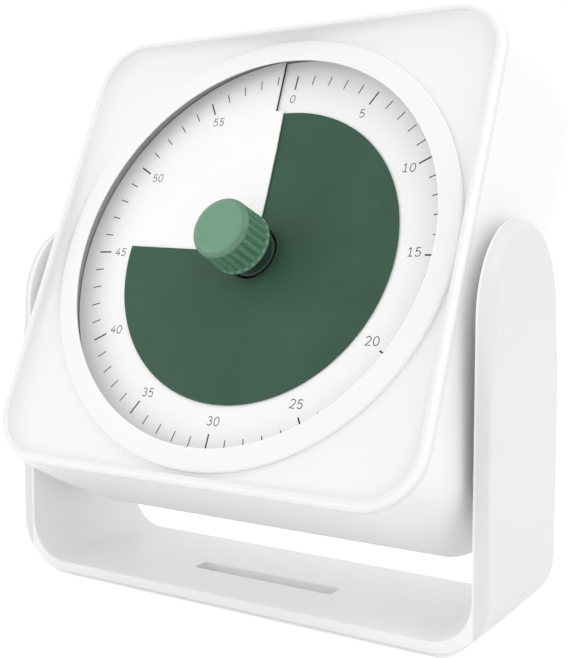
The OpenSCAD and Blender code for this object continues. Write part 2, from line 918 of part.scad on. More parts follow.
// Opening for the door, sockets for its pins and a notch for a fingernail
module bay_cuts() {
    block([-door_half - door_gap, door_axis_y - knuckle_r - door_gap, -case_depth - past],
          [door_half + door_gap, door_top + door_gap, -case_depth + door_t + loose_gap - 0.01]);
    block([-door_half - door_gap, door_axis_y - knuckle_r - door_gap, -case_depth - past],
          [door_half + door_gap, door_axis_y + knuckle_r, door_axis_z + knuckle_r + loose_gap]);
    for (side = [0, 1])
        mirror([side, 0, 0])
            translate([door_half, door_axis_y, door_axis_z])
                rotate([0, 90, 0])
                    cylinder(r = door_pin_r + run_gap, h = door_gap + door_pin_length, $fn = 32);
    block([-notch_half, door_top, -case_depth - past],
          [notch_half, door_top + door_gap + notch_w, -case_depth + case_wall / 2]);
}

module sound_holes() {
    hole_r = 1;
    hole_circle = 6;
    translate([buzzer_x, board_up, 0])
        for (i = [0 : 8])
            translate(i == 0 ? [0, 0] : polar(hole_circle, 45 * i))
                drum(hole_r, -case_depth - past, back_inner + past, $fn = 24);
}

// The thumb piece rests at the left end of its slot
module switch_slot() {
    block([switch_x - thumb_l / 2 - slot_gap, board_up - thumb_w / 2 - slot_gap, -case_depth - past],
          [switch_x + thumb_l / 2 + switch_travel + slot_gap, board_up + thumb_w / 2 + slot_gap,
           back_inner + past]);
}

module pivot_bushes() {
    color("goldenrod")
        on_head()
            at_pivots() {
                collar(shank_r + run_gap, bush_r, boss_inner, side_pad_x);
                collar(shank_r + run_gap, bush_flange_r, flange_inner, boss_inner);
            }
}

module case_screws() {
    color("silver")
        on_head()
            at_case_screws() {
                drum(case_head_r, -tube_joint - tube_web - case_head_t, -tube_joint - tube_web);
                drum(case_screw_r, -tube_joint - tube_web, screw_bite - tube_joint);
            }
}

// ---- Dial ----

module dial_chassis() {
    color("dimgray")
        on_head()
            difference() {
                union() {
                    difference() {
                        drum(chassis_r, chassis_back, chassis_rim);
                        drum(chassis_wall_r, -chassis_drop, chassis_rim + past);
                    }
                    at_ears()
                        block([-ear_r, chassis_wall_r + chassis_wall / 3, chassis_back],
                              [ear_r, ear_circle + ear_r, -chassis_drop]);
                    drum(spindle_bush_r + hub_tube_wall, chassis_back, spindle_flange_z - spindle_flange_t);
                    plate_posts_at_height();
                }
                drum(spindle_bush_r + fix_gap, chassis_back - past, 0);
                at_ears()
                    translate([0, ear_circle, 0])
                        drum(small_screw_r + loose_gap, chassis_back - past, 0);
                at_columns()
                    drum(small_screw_r + screw_fit, chassis_back - past, -chassis_drop + past);
            }
}

// Each post ends just under the climbing plate
module plate_posts_at_height() {
    for (i = [0 : plate_posts - 1]) {
        a = 360 * (i + 0.5) / plate_posts;
        rotate([0, 0, -a])
            translate([0, post_circle, 0])
                drum(post_r, -chassis_drop - 1, plate_z + rise_per_turn * a / 360 - plate_t - fix_gap,
                     $fn = 32);
    }
}

module chassis_screws() {
    color("silver")
        on_head()
            at_ears()
                translate([0, ear_circle, 0]) {
                    drum(small_head_r, chassis_back - small_head_t, chassis_back);
                    drum(small_screw_r, chassis_back, 2);
                }
}

module spindle_bush() {
    color("goldenrod")
        on_head()
            difference() {
                union() {
                    drum(spindle_bush_r, chassis_back, spindle_flange_z);
                    drum(spindle_flange_r, spindle_flange_z - spindle_flange_t, spindle_flange_z);
                }
                drum(spindle_r + run_gap, chassis_back - past, 0);
            }
}

// White plate with one cut: near the zero line inside the disc's radius, shifted to the left outside it
module dial_plate() {
    color("white")
        on_head()
            helicoid([[plate_hole, 0],
                      [jog_r - jog_half, -inner_cut],
                      [jog_r + jog_half, -asin(cut_shift / (jog_r + jog_half))],
                      [plate_r, -asin(cut_shift_rim / plate_r)]], plate_z, plate_t);
}

module colour_disc() {
    color("darkslategray")
        on_head()
            helicoid([[hub_outer, disc_angle - 360], [disc_r, disc_angle - 360]],
                     plate_z + disc_gap + disc_t, disc_t);
}

module disc_hub() {
    color("darkslategray")
        on_head()
            translate([0, 0, plate_z])
                difference() {
                    rotate_extrude()
                        polygon([[hub_inner, -hub_foot],
                                 [hub_outer, -hub_foot],
                                 [hub_outer, hub_top],
                                 [hub_outer - sleeve_t, hub_top],
                                 [hub_outer - sleeve_t, hub_floor_t - hub_foot],
                                 [hub_inner, hub_floor_t - hub_foot]]);
                    drive_keys(key_depth + loose_gap, key_width + 2 * loose_gap, -hub_foot - past,
                               hub_top + past);
                }
}

// Two keys on opposite sides of the collar
module drive_keys(depth, width, z0, z1) {
    for (turn = [0, 180])
        rotate([0, 0, turn])
            block([collar_r - past, -width / 2, z0], [collar_r + depth, width / 2, z1]);
}

// ---- Knob and spindle ----

module turning_knob() {
    color("seagreen")
        on_head()
            difference() {
                intersection() {
                    union() {
                        translate([0, 0, knob_foot])
                            linear_extrude(knob_rise - knob_foot)
                                fluted_outline();
                        drum(knob_r - fix_gap, knob_foot, knob_foot + foot_ring);
                    }
                    union() {
                        drum(knob_r + past, knob_foot - past, knob_rise - knob_chamfer - past);
                        translate([0, 0, knob_rise - knob_chamfer - past])
                            cylinder(r1 = knob_r + past, r2 = knob_r - knob_chamfer,
                                     h = knob_chamfer + past);
                    }
                }
                drum(spindle_r + fix_gap, knob_foot - past, knob_rise - 4 + seat_gap);
            }
}

// Circle whose radius dips once a flute
module fluted_outline() {
    points_a_flute = 8;
    n = flutes * points_a_flute;
    polygon([for (i = [0 : n - 1])
                 let (a = 360 * i / n)
                 polar(knob_r - flute_depth * pow(sin(a * flutes / 2), 2), a)]);
}

module spindle() {
    color("silver")
        on_head()
            drum(spindle_r, back_floor + seat_gap, knob_rise - 4);
}

module drive_collar() {
    color("darkgreen")
        on_head()
            difference() {
                union() {
                    drum(collar_r, collar_low, collar_rise);
                    drum(neck_r, collar_low + past, knob_foot);
                    drive_keys(key_depth, key_width, collar_low, plate_z + key_top);
                }
                drum(spindle_r + fix_gap, collar_low - past, knob_foot + past);
            }
}

module spindle_clips() {
    clip_r = 3.6;
    clip_t = 0.6;
    color("dimgray")
        on_head()
            for (z = [front_floor - seat_gap - clip_t, centre_layer - wheel_t - 2 * clip_t - 0.2])
                collar(spindle_r + fix_gap, clip_r, z, z + clip_t);
}

module centre_wheel() {
    hub_r = 4;
    color("gold")
        on_head() {
            gear(centre_teeth, 0, spindle_r + fix_gap, centre_layer - wheel_t, centre_layer);
            collar(spindle_r + fix_gap, hub_r, centre_layer, centre_layer + 1);
        }
}

// Three-legged washer that presses the wheel against its clip, so that the knob can slip
module clutch_spring() {
    leg_w = 2;
    leg_r = 5;
    color("silver")
        on_head()
            difference() {
                union() {
                    drum(spindle_r + 1.2, centre_layer - wheel_t - 0.5, centre_layer - wheel_t - 0.1);
                    for (i = [0 : 2])
                        rotate([0, 0, 120 * i])
                            block([0, -leg_w / 2, centre_layer - wheel_t - 0.5],
                                  [leg_r, leg_w / 2, centre_layer - wheel_t - 0.1]);
                }
                drum(spindle_r + fix_gap, movement_back_z, 0);
            }
}

// ---- Quartz movement ----

module movement_shell(z0, z1) {
    block([movement_left, movement_low, z0], [movement_right, movement_high, z1]);
}

module movement_hollow(z0, z1) {
    block([movement_left + movement_wall, movement_low + movement_wall, z0],
          [movement_right - movement_wall, movement_high - movement_wall, z1]);
}

module movement_front() {
    color("lightgray")
        on_head()
            difference() {
                union() {
                    difference() {
                        movement_shell(movement_seam, movement_front_z);
                        movement_hollow(movement_seam - past, front_floor);
                    }
                    at_columns()
                        drum(column_r, movement_seam, movement_front_z);
                }
                drum(spindle_r + loose_gap, front_floor - past, movement_front_z + past);
                at_columns()
                    drum(small_screw_r + screw_fit, movement_seam - past, movement_front_z + past);
                translate(rotor_at)
                    drum(rotor_shaft_r + run_gap, front_floor - past, movement_front_z + past, $fn = 32);
            }
}

module movement_back() {
    color("lightgray")
        on_head()
            difference() {
                union() {
                    difference() {
                        movement_shell(movement_back_z, movement_seam);
                        movement_hollow(back_floor, movement_seam + past);
                    }
                    at_columns()
                        drum(column_r, movement_back_z, movement_seam);
                    drum(spindle_r + 2, movement_back_z, back_floor + 2.5);
                }
                drum(spindle_r + run_gap, back_floor, back_floor + 2.5 + past);
                at_columns()
                    drum(small_screw_r + screw_fit, movement_back_z - past, movement_seam + past);
                translate(rotor_at)
                    drum(rotor_shaft_r + run_gap, movement_back_z - past, back_floor + past, $fn = 32);
                coil_lead_holes();
            }
}

module coil_lead_holes() {
    for (dx = [-1, 1])
        translate([coil_at_x + 2 * dx, rotor_at.y + coil_half + lead_step, 0])
            drum(wire_r + loose_gap, movement_back_z - past, back_floor + past, $fn = 24);
}

module movement_screws() {
    color("silver")
        on_head()
            at_columns() {
                drum(small_head_r, movement_back_z - small_head_t, movement_back_z);
                drum(small_screw_r, movement_back_z, chassis_back + chassis_t - 0.2);
            }
}

module wheel_arbors() {
    color("silver")
        on_head()
            for (at = [third_at, fourth_at])
                translate(at)
                    drum(arbor_r, back_floor, front_floor, $fn = 32);
}

// Wheel, hub and pinion in one piece, on an arbor at the origin
module compound_wheel(teeth, phase, wheel_top, pinion_top, pinion_foot) {
    hub_r = arbor_r + 0.9;
    bore = arbor_r + run_gap;
    gear(teeth, 0, bore, wheel_top - wheel_t, wheel_top);
    gear(pinion_teeth, phase, bore, pinion_foot, pinion_top);
    collar(bore, hub_r, wheel_top, pinion_foot);
}

module third_wheel() {
    color("gold")
        on_head()
            translate(third_at)
                compound_wheel(third_teeth, third_phase, third_layer, centre_layer + pinion_over,
                               centre_layer - wheel_t - pinion_over);
}

module fourth_wheel() {
    color("gold")
        on_head()
            translate(fourth_at)
                compound_wheel(fourth_teeth, fourth_phase, fourth_layer, third_layer + pinion_over,
                               third_layer - wheel_t - pinion_over);
}

module rotor() {
    color("slategray")
        on_head()
            translate(rotor_at) {
                drum(magnet_r, magnet_layer - magnet_t, magnet_layer);
                gear(pinion_teeth, rotor_phase, rotor_shaft_r, fourth_layer - wheel_t - pinion_over,
                     fourth_layer + pinion_over);
                drum(rotor_shaft_r + 0.8, magnet_layer, fourth_layer - wheel_t - pinion_over);
                drum(rotor_shaft_r, movement_back_z + 0.2, movement_front_z - 0.2, $fn = 32);
            }
}

// Plate round the rotor, two legs and the core that the coil sits on
module stator() {
    core = 1.2;
    color("slategray")
        on_head()
            translate([0, 0, stator_z - stator_t / 2])
                union() {
                    linear_extrude(stator_t)
                        difference() {
                            union() {
                                translate([rotor_at.x - stator_reach, rotor_at.y - coil_half - stator_leg])
                                    square([2 * stator_reach, 2 * (coil_half + stator_leg)]);
                                for (side = [-1, 1])
                                    translate([rotor_at.x, rotor_at.y + side * (coil_half + stator_leg / 2)])
                                        translate([0, -stator_leg / 2])
                                            square([coil_at_x - rotor_at.x + core, stator_leg]);
                            }
                            translate(rotor_at)
                                circle(r = magnet_r + 0.5);
                        }
                    block([coil_at_x - core, rotor_at.y - coil_half - 0.5, 0],
                          [coil_at_x + core, rotor_at.y + coil_half + 0.5, stator_t]);
                }
}

module drive_coil() {
    flange_t = 0.8;
    flange_over = 0.6;
    core_r = 1.45;
    color("chocolate")
        on_head()
            translate([coil_at_x, rotor_at.y, stator_z])
                rotate([90, 0, 0])
                    difference() {
                        union() {
                            drum(coil_r, 0.1 - coil_half, coil_half - 0.1);
                            for (side = [-1, 1])
                                translate([0, 0, side * (coil_half - 0.1 - flange_t / 2)])
                                    drum(coil_r + flange_over, -flange_t / 2, flange_t / 2);
                        }
                        drum(core_r, -coil_half - past, coil_half + past);
                    }
}

module coil_leads() {
    color("firebrick")
        on_head()
            for (dx = [-1, 1]) {
                x = coil_at_x + 2 * dx;
                y = rotor_at.y + coil_half + lead_step;
                end_x = dx * 3;
                depth = stator_z - coil_r + wire_r;
                wire([[x, rotor_at.y + coil_half, depth],
                      [x, y, depth],
                      [x, y, wire_layer + wire_rise],
                      [end_x, wire_end_y, wire_layer + wire_rise],
                      [end_x, wire_end_y, board_z + board_t + seat_gap]]);
            }
}

// ---- Circuit board, sound and switch, on the back wall ----

module circuit_board() {
    color("darkgreen")
        on_head()
            difference() {
                block([-board_l / 2, board_up - board_w / 2, board_z],
                      [board_l / 2, board_up + board_w / 2, board_z + board_t]);
                at_board_holes()
                    drum(board_screw_r + loose_gap, board_z - past, board_z + board_t + past, $fn = 32);
            }
}

module control_chip() {
    chip = 8;
    color("black")
        on_head()
            block([6, board_up - chip / 2, board_z + board_t],
                  [6 + chip, board_up + chip / 2, board_z + board_t + 1.2]);
}

module board_screws() {
    color("silver")
        on_head()
            at_board_holes() {
                drum(board_head_r, board_z + board_t, board_z + board_t + board_head_t);
                drum(board_screw_r, back_inner + 2, board_z + board_t);
            }
}

module buzzer() {
    color("black")
        on_head()
            translate([buzzer_x, board_up, 0])
                collar(1.5, buzzer_r, back_inner + 0.6, board_z);
}

module switch_body() {
    body_v = 5;
    color("darkgray")
        on_head()
            block([switch_x - thumb_l / 2, board_up - body_v / 2, slider_z + slider_t + seat_gap],
                  [switch_x + thumb_l / 2 + switch_travel, board_up + body_v / 2, board_z]);
}

// Thumb piece on a slider plate that covers the slot from inside at both ends of its travel
module sound_switch() {
    cover = thumb_l / 2 + switch_travel + slot_gap + 0.4;
    color("darkgray")
        on_head() {
            block([switch_x - thumb_l / 2, board_up - thumb_w / 2, -case_depth - thumb_rise],
                  [switch_x + thumb_l / 2, board_up + thumb_w / 2, slider_z]);
            block([switch_x - cover, board_up - slider_v / 2, slider_z],
                  [switch_x + cover, board_up + slider_v / 2, slider_z + slider_t]);
        }
}

// ---- Battery ----

module contact_plate() {
    color("silver")
        on_head()
            battery_contact(1);
}

// Contact blade at one end of the bay, with a tab through its floor
module battery_contact(side) {
    x0 = side > 0 ? bay_half - contact_t : -bay_half;
    block([x0, -cell_low - contact_v, cell_z - contact_v],
          [x0 + contact_t, -cell_low + contact_v, bay_floor]);
    block([x0, -cell_low - tab_v, bay_floor],
          [x0 + contact_t, -cell_low + tab_v, bay_floor + bay_wall + tab_rise]);
}

// Conical spring of round wire between the blade and the cell
spring_turns = 4;
spring_steps = 16;
spring_sides = 6;
module contact_spring() {
    spring_wire = 0.35;
    wide = 4.6;
    narrow = 2.6;
    x0 = -bay_half + contact_t + spring_wire / 2;
    x1 = cell_left - spring_wire - seat_gap;
    last = spring_turns * spring_steps;
    points = [for (i = [0 : last], k = [0 : spring_sides - 1])
                  let (t = i / last,
                       a = 360 * i / spring_steps,
                       b = 360 * k / spring_sides,
                       r = wide + (narrow - wide) * t + spring_wire * cos(b))
                  [x0 + (x1 - x0) * t + spring_wire * sin(b), r * cos(a), r * sin(a)]];
    tube = [for (i = [0 : last - 1], k = [0 : spring_sides - 1])
                let (a = i * spring_sides + k,
                     b = i * spring_sides + (k + 1) % spring_sides)
                each [[a, b, a + spring_sides], [b, b + spring_sides, a + spring_sides]]];
    caps = [[for (k = [spring_sides - 1 : -1 : 0]) k],
            [for (k = [0 : spring_sides - 1]) last * spring_sides + k]];
    color("silver")
        on_head() {
            battery_contact(-1);
            translate([0, -cell_low, cell_z])
                polyhedron(points = points, faces = concat(tube, caps), convexity = 10);
        }
}

module battery_cell() {
    color("darkorange")
        on_head()
            translate([0, -cell_low, cell_z])
                rotate([0, 90, 0]) {
                    drum(cell_r, cell_left, cell_right - nub_h);
                    drum(nub_r, cell_right - nub_h, cell_right);
                }
}

module battery_leads() {
    tab_end = bay_floor + bay_wall + tab_rise;
    color("firebrick")
        on_head()
            for (side = [-1, 1]) {
                x = side * (bay_half - contact_t / 2);
                end_x = side * wire_end_x;
                wire([[x, -cell_low, tab_end + seat_gap],
                      [x, -cell_low, wire_layer],
                      [end_x, wire_end_y, wire_layer],
                      [end_x, wire_end_y, board_z + board_t + seat_gap]]);
            }
}

module battery_door() {
    color("white")
        on_head() {
            difference() {
                union() {
                    block([-door_half, door_axis_y, -case_depth],
                          [door_half, door_top, -case_depth + door_t]);
                    translate([-door_half, door_axis_y, door_axis_z])
                        rotate([0, 90, 0])
                            cylinder(r = knuckle_r, h = 2 * door_half, $fn = 48);
                }
                for (i = [0 : 2])
                    translate([0, door_top - 3 - 2 * i, -case_depth])
                        block([-notch_half, -0.4, -past], [notch_half, 0.4, 0.5]);
            }
            translate([-door_half - door_pin_length, door_axis_y, door_axis_z])
                rotate([0, 90, 0])
                    cylinder(r = door_pin_r, h = 2 * (door_half + door_pin_length), $fn = 32);
        }
}

stand();
base_pad();
pivot_screws();
friction_washers();
spring_washers();
front_frame();
bezel_ring();
rear_case();
pivot_bushes();
case_screws();
dial_chassis();
chassis_screws();
spindle_bush();
dial_plate();
movement_front();
movement_back();
movement_screws();
wheel_arbors();
stator();
drive_coil();
coil_leads();
circuit_board();
control_chip();
board_screws();
buzzer();
switch_body();
sound_switch();
contact_plate();
contact_spring();
battery_cell();
battery_leads();
battery_door();
turning_knob();
spindle();
drive_collar();
spindle_clips();
centre_wheel();
clutch_spring();
disc_hub();
colour_disc();
third_wheel();
fourth_wheel();
rotor();
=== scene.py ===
# %% [markdown]
# # A visual countdown timer, surface by surface
#
# The timer is a square head that tilts in a U-shaped stand. A knob turns a green disc that is threaded
# through a cut in the white dial, and the disc that still shows is the time that is left.
#
# The construction is already there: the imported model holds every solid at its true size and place. This
# script dresses it. Each piece that shows is worked out again with finer surfaces, and each piece inside
# keeps its solid and gets a finish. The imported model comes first, because all places are read from it.

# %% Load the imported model
import json
import math

import bmesh
import bpy
import numpy as np
from mathutils import Matrix


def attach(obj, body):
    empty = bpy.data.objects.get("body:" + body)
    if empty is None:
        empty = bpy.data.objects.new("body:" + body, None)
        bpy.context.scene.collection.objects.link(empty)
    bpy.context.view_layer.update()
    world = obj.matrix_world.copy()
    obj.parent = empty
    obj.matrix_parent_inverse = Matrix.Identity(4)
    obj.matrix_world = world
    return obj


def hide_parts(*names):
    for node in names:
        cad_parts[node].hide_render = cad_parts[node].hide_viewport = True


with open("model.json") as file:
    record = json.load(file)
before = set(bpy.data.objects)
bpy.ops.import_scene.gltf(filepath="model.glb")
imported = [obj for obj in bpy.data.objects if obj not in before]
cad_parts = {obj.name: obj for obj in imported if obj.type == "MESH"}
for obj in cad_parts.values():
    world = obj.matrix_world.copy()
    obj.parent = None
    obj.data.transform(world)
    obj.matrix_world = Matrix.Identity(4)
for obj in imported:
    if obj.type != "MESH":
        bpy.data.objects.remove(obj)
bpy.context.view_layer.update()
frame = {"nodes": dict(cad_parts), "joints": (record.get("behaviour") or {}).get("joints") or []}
nodes = frame["nodes"]
joints = {joint["name"]: joint for joint in frame["joints"]}
print("pieces in the model:", len(nodes), "joints:", len(joints))

# %% [markdown]
# ## A frame for the face
#
# The head leans back by 24 degrees. Drawing on a leaning face is awkward in world coordinates, so the
# pieces of the head are drawn in a frame of their own: u to the right, v up the face, w out of it, in
# millimetres, with the dial at w = 0. One product with three axes then sets a whole array of points in
# place. The axes come from the knob's joint, so they follow the model.

# %% The face frame
MM = 0.001
dial_middle = np.array(joints["knob_turn"]["pos_m"])
face_out = -np.array(joints["knob_turn"]["axis"])
face_right = np.array([1.0, 0.0, 0.0])
face_up = np.cross(face_out, face_right)
head_axes = np.array([face_right, face_up, face_out])


def on_head(points):
    """World place of points (u, v, w): the dial's middle, plus u to the right, v up and w out."""
    return dial_middle + points @ head_axes * MM


def on_table(points):
    """World place of points that are already drawn upright, in millimetres from the table's middle."""
    return points * MM


print("dial's middle:", dial_middle, "face looks along:", face_out.round(4))

# %% [markdown]
# ## Grids that close
#
# Every surface here is a grid: a shape is a function of two parameters, and the grid holds its points.
# Neighbours in the grid make the faces. A grid that closes on itself in both directions is a ring, and one
# that ends in two flat caps or two poles is a lump. A shell made this way has no stray faces, but the grid
# can turn out inside out. The volume that the faces enclose tells: where it is negative, they all turn.

# %% From grids to solids
def grid_solid(grid, ring=False, strips=False):
    """Points and faces of a closed grid. Columns always close; rows close too in a ring, else they get caps. With
    strips, a row goes out and comes back over itself, and its cap is a strip of quads between the two ways."""
    rows, columns = grid.shape[:2]
    i = np.arange(rows if ring else rows - 1)[:, None]
    j = np.arange(columns)[None, :]
    here, there = i * columns, (i + 1) % rows * columns
    side = (j + 1) % columns
    quads = np.stack([here + j, here + side, there + side, there + j], -1).reshape(-1, 4)
    caps = []
    if strips:
        k = np.arange(columns // 2 - 1)
        strip = np.stack([k + 1, k, columns - 1 - k, columns - 2 - k], -1)
        quads = np.concatenate([quads, strip, strip[:, ::-1] + (rows - 1) * columns])
    elif not ring:
        first, last = np.arange(columns)[::-1], (rows - 1) * columns + np.arange(columns)
        caps = [cap for cap, row in ((first, 0), (last, -1)) if np.ptp(grid[row], axis=0).max() > 1e-6]
    return outward(grid.reshape(-1, 3), quads, caps)


def outward(points, quads, caps):
    """Turns all faces round where the enclosed volume, a sum of a . (b x c) over triangles, is negative."""
    fans = [np.stack([np.full(len(c) - 2, c[0]), c[1:-1], c[2:]], -1) for c in caps]
    triangles = np.concatenate([quads[:, [0, 1, 2]], quads[:, [0, 2, 3]]] + fans)
    a, b, c = (points[triangles[:, k]] - points.mean(0) for k in range(3))
    faces = quads.tolist() + [cap.tolist() for cap in caps]
    if np.einsum("ij,ij->i", a, np.cross(b, c)).sum() < 0:
        faces = [face[::-1] for face in faces]
    return points, faces


def plain_mesh(name, solids, place):
    """An object at the origin that holds all the solids, with doubled points at seams and poles merged."""
    points = np.concatenate([solid[0] for solid in solids])
    starts = np.cumsum([0] + [len(solid[0]) for solid in solids[:-1]])
    faces = [[k + start for k in face] for solid, start in zip(solids, starts) for face in solid[1]]
    mesh = bpy.data.meshes.new(name)
    mesh.from_pydata(place(points), [], faces)
    merge_doubles(mesh)
    piece = bpy.data.objects.new(name, mesh)
    bpy.context.scene.collection.objects.link(piece)
    return piece


def merge_doubles(mesh, distance=1e-7):
    """Merges points that lie on each other and removes the faces that collapse."""
    work = bmesh.new()
    work.from_mesh(mesh)
    bmesh.ops.remove_doubles(work, verts=work.verts, dist=distance)
    bmesh.ops.dissolve_degenerate(work, edges=work.edges, dist=distance)
    work.to_mesh(mesh)
    work.free()


cube = np.array([[(0, 0, z), (1, 0, z), (1, 1, z), (0, 1, z)] for z in (0, 1)], float)
print("a cube is a grid of 2 rows and 4 columns:", len(grid_solid(cube)[1]), "faces with its caps")

# %% [markdown]
# ## Profiles with rounded corners
#
# Moulded plastic has no sharp edges, and the light on its small rounds is what the eye reads as plastic.
# So a profile is written as its corners, each with a radius, and one function puts an arc at each corner.
# Carried round an axis it makes rings, knobs and screws.

# %% Rounded profiles and turned pieces
def rounded(corners, steps):
    """Closed profile with an arc at each corner (x, y, radius). The arc starts radius / tan(half the corner's
    angle) before the corner and turns about a centre radius / sin(half the angle) away, on the bisector."""
    corners = np.array(corners, float)
    at, radius = corners[:, :2], corners[:, 2:]
    back = np.roll(at, 1, 0) - at
    ahead = np.roll(at, -1, 0) - at
    back /= np.linalg.norm(back, axis=1, keepdims=True)
    ahead /= np.linalg.norm(ahead, axis=1, keepdims=True)
    half = np.arccos(np.clip((back * ahead).sum(1, keepdims=True), -1, 1)) / 2
    middle = back + ahead
    middle /= np.maximum(np.linalg.norm(middle, axis=1, keepdims=True), 1e-9)
    centre = at + middle * radius / np.sin(half)
    start, end = (at + way * radius / np.tan(half) - centre for way in (back, ahead))
    sweep = np.maximum(np.pi - 2 * half, 1e-6)[:, :, None]
    share = np.linspace(0, 1, steps + 1)[None, :, None]
    arc = np.sin((1 - share) * sweep) * start[:, None] + np.sin(share * sweep) * end[:, None]
    return (centre[:, None] + arc / np.sin(sweep)).reshape(-1, 2)


def turned(profile, columns, at=(0, 0), ring=True):
    """Ring that a closed profile (r, w) sweeps about the w axis: u = r sin(a), v = r cos(a)."""
    angle = np.linspace(0, 2 * np.pi, columns, endpoint=False)[None, :]
    r, w = profile[:, :1], profile[:, 1:]
    grid = np.stack([at[0] + r * np.sin(angle), at[1] + r * np.cos(angle), w + 0 * angle], -1)
    return grid_solid(grid, ring=ring)


def turned_lump(profile, columns, at=(0, 0)):
    """The same for an open profile that starts and ends on the axis, or in two flat caps."""
    return turned(profile, columns, at, ring=False)


def tube_profile(r_in, r_out, w_low, w_high, soft=0.2):
    """Rectangle between two radii and two heights, with small rounds."""
    return rounded([(r_in, w_low, soft), (r_out, w_low, soft), (r_out, w_high, soft), (r_in, w_high, soft)], 3)


def rod(r, w_low, w_high, at=(0, 0), columns=48):
    """Plain rod along w with flat ends."""
    return turned_lump(np.array([(r, w_low), (r, w_high)]), columns, at)


def brick(low, high):
    """Box between two corners: four columns of a grid with two rows."""
    (x0, y0, z0), (x1, y1, z1) = low, high
    base = np.array([(x0, y0), (x1, y0), (x1, y1), (x0, y1)], float)
    grid = np.stack([np.column_stack([base, np.full(4, z)]) for z in (z0, z1)])
    return grid_solid(grid)


def across(solid, side, v, w):
    """Turns a solid so that its w axis runs along side * u, with its middle at (v, w)."""
    points, faces = solid
    x, y, z = points.T
    moved = np.stack([side * z, v + side * x, w + y], -1)
    return outward_again(moved, faces)


def outward_again(points, faces):
    """Outward faces for a solid whose points were moved or mirrored, by the same volume test."""
    quads = np.array([face for face in faces if len(face) == 4])
    caps = [np.array(face) for face in faces if len(face) != 4]
    return outward(points, quads, caps)


print("points in a tube's profile:", len(tube_profile(1, 2, 0, 5)))

# %% [markdown]
# ## Adding and taking away
#
# A slot in a curved band, or a door opening in a moulded back, would need its own grid lines in every
# surface round it. It is easier to make the plain shape first and to take the opening out of it with
# Blender's exact boolean, as a mould maker does with a steel core. The result is stored in the mesh at once,
# so that no live modifier depends on a helper object.

# %% Booleans that leave a plain mesh
def work_on(piece, solids, place, operation):
    """Adds ("UNION") or takes away ("DIFFERENCE") solids, and keeps the result as the piece's own mesh."""
    tool = plain_mesh("helper", solids, place)
    step = piece.modifiers.new("step", "BOOLEAN")
    step.operation, step.solver, step.use_self, step.object = operation, "EXACT", True, tool
    bpy.context.view_layer.update()
    view = bpy.context.evaluated_depsgraph_get()
    result = bpy.data.meshes.new_from_object(piece.evaluated_get(view))
    piece.modifiers.clear()
    old, helper = piece.data, tool.data
    merge_doubles(result, 1e-6)
    piece.data = result
    piece.data.name = piece.name
    bpy.data.meshes.remove(old)
    bpy.data.objects.remove(tool)
    bpy.data.meshes.remove(helper)
    print(piece.name, operation.lower(), "with", len(solids), "solids:", len(piece.data.polygons), "faces")


def finish_piece(piece, body, replaces, finish, crease=38):
    """Smooth shading with creases, normals that keep flats flat, the finish, and the piece's place in the frame."""
    piece.data.shade_smooth()
    piece.data.set_sharp_from_angle(angle=math.radians(crease))
    even = piece.modifiers.new("even normals", "WEIGHTED_NORMAL")
    even.keep_sharp = True
    piece.data.materials.clear()
    piece.data.materials.append(finish)
    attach(piece, body)
    if replaces:
        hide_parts(*replaces)
    low, high = np.array(piece.bound_box).min(0), np.array(piece.bound_box).max(0)
    print(piece.name, len(piece.data.polygons), "faces,", ((high - low) / MM).round(1), "mm")


print("helpers for booleans and finishing are ready")

# %% [markdown]
# ## Shader sums as Python
#
# A material is a graph of nodes, and a graph is tedious to write down. One small class wraps a socket, so
# that a sum on sockets reads as a sum: `1 - mask` adds a Math node, and a sum on colours or vectors adds a
# Vector Math node, which keeps the three channels apart. Every other node comes from one method.

# %% The socket wrapper and the material writer
class Wire:
    """One socket's value inside a finish; arithmetic on it adds the nodes that work it out."""

    def __init__(self, finish, socket):
        self.finish, self.socket = finish, socket

    def _sum(self, operation, left, right):
        many = any(isinstance(x, tuple) or getattr(getattr(x, "socket", None), "type", "") in ("RGBA", "VECTOR")
                   for x in (left, right))
        return self.finish.node("VectorMath" if many else "Math", {"operation": operation}, {0: left, 1: right})

    def __add__(self, other):
        return self._sum("ADD", self, other)

    def __sub__(self, other):
        return self._sum("SUBTRACT", self, other)

    def __rsub__(self, other):
        return self._sum("SUBTRACT", other, self)

    def __mul__(self, other):
        return self._sum("MULTIPLY", self, other)

    def __pow__(self, other):
        return self._sum("POWER", self, other)

    __radd__ = __add__
    __rmul__ = __mul__


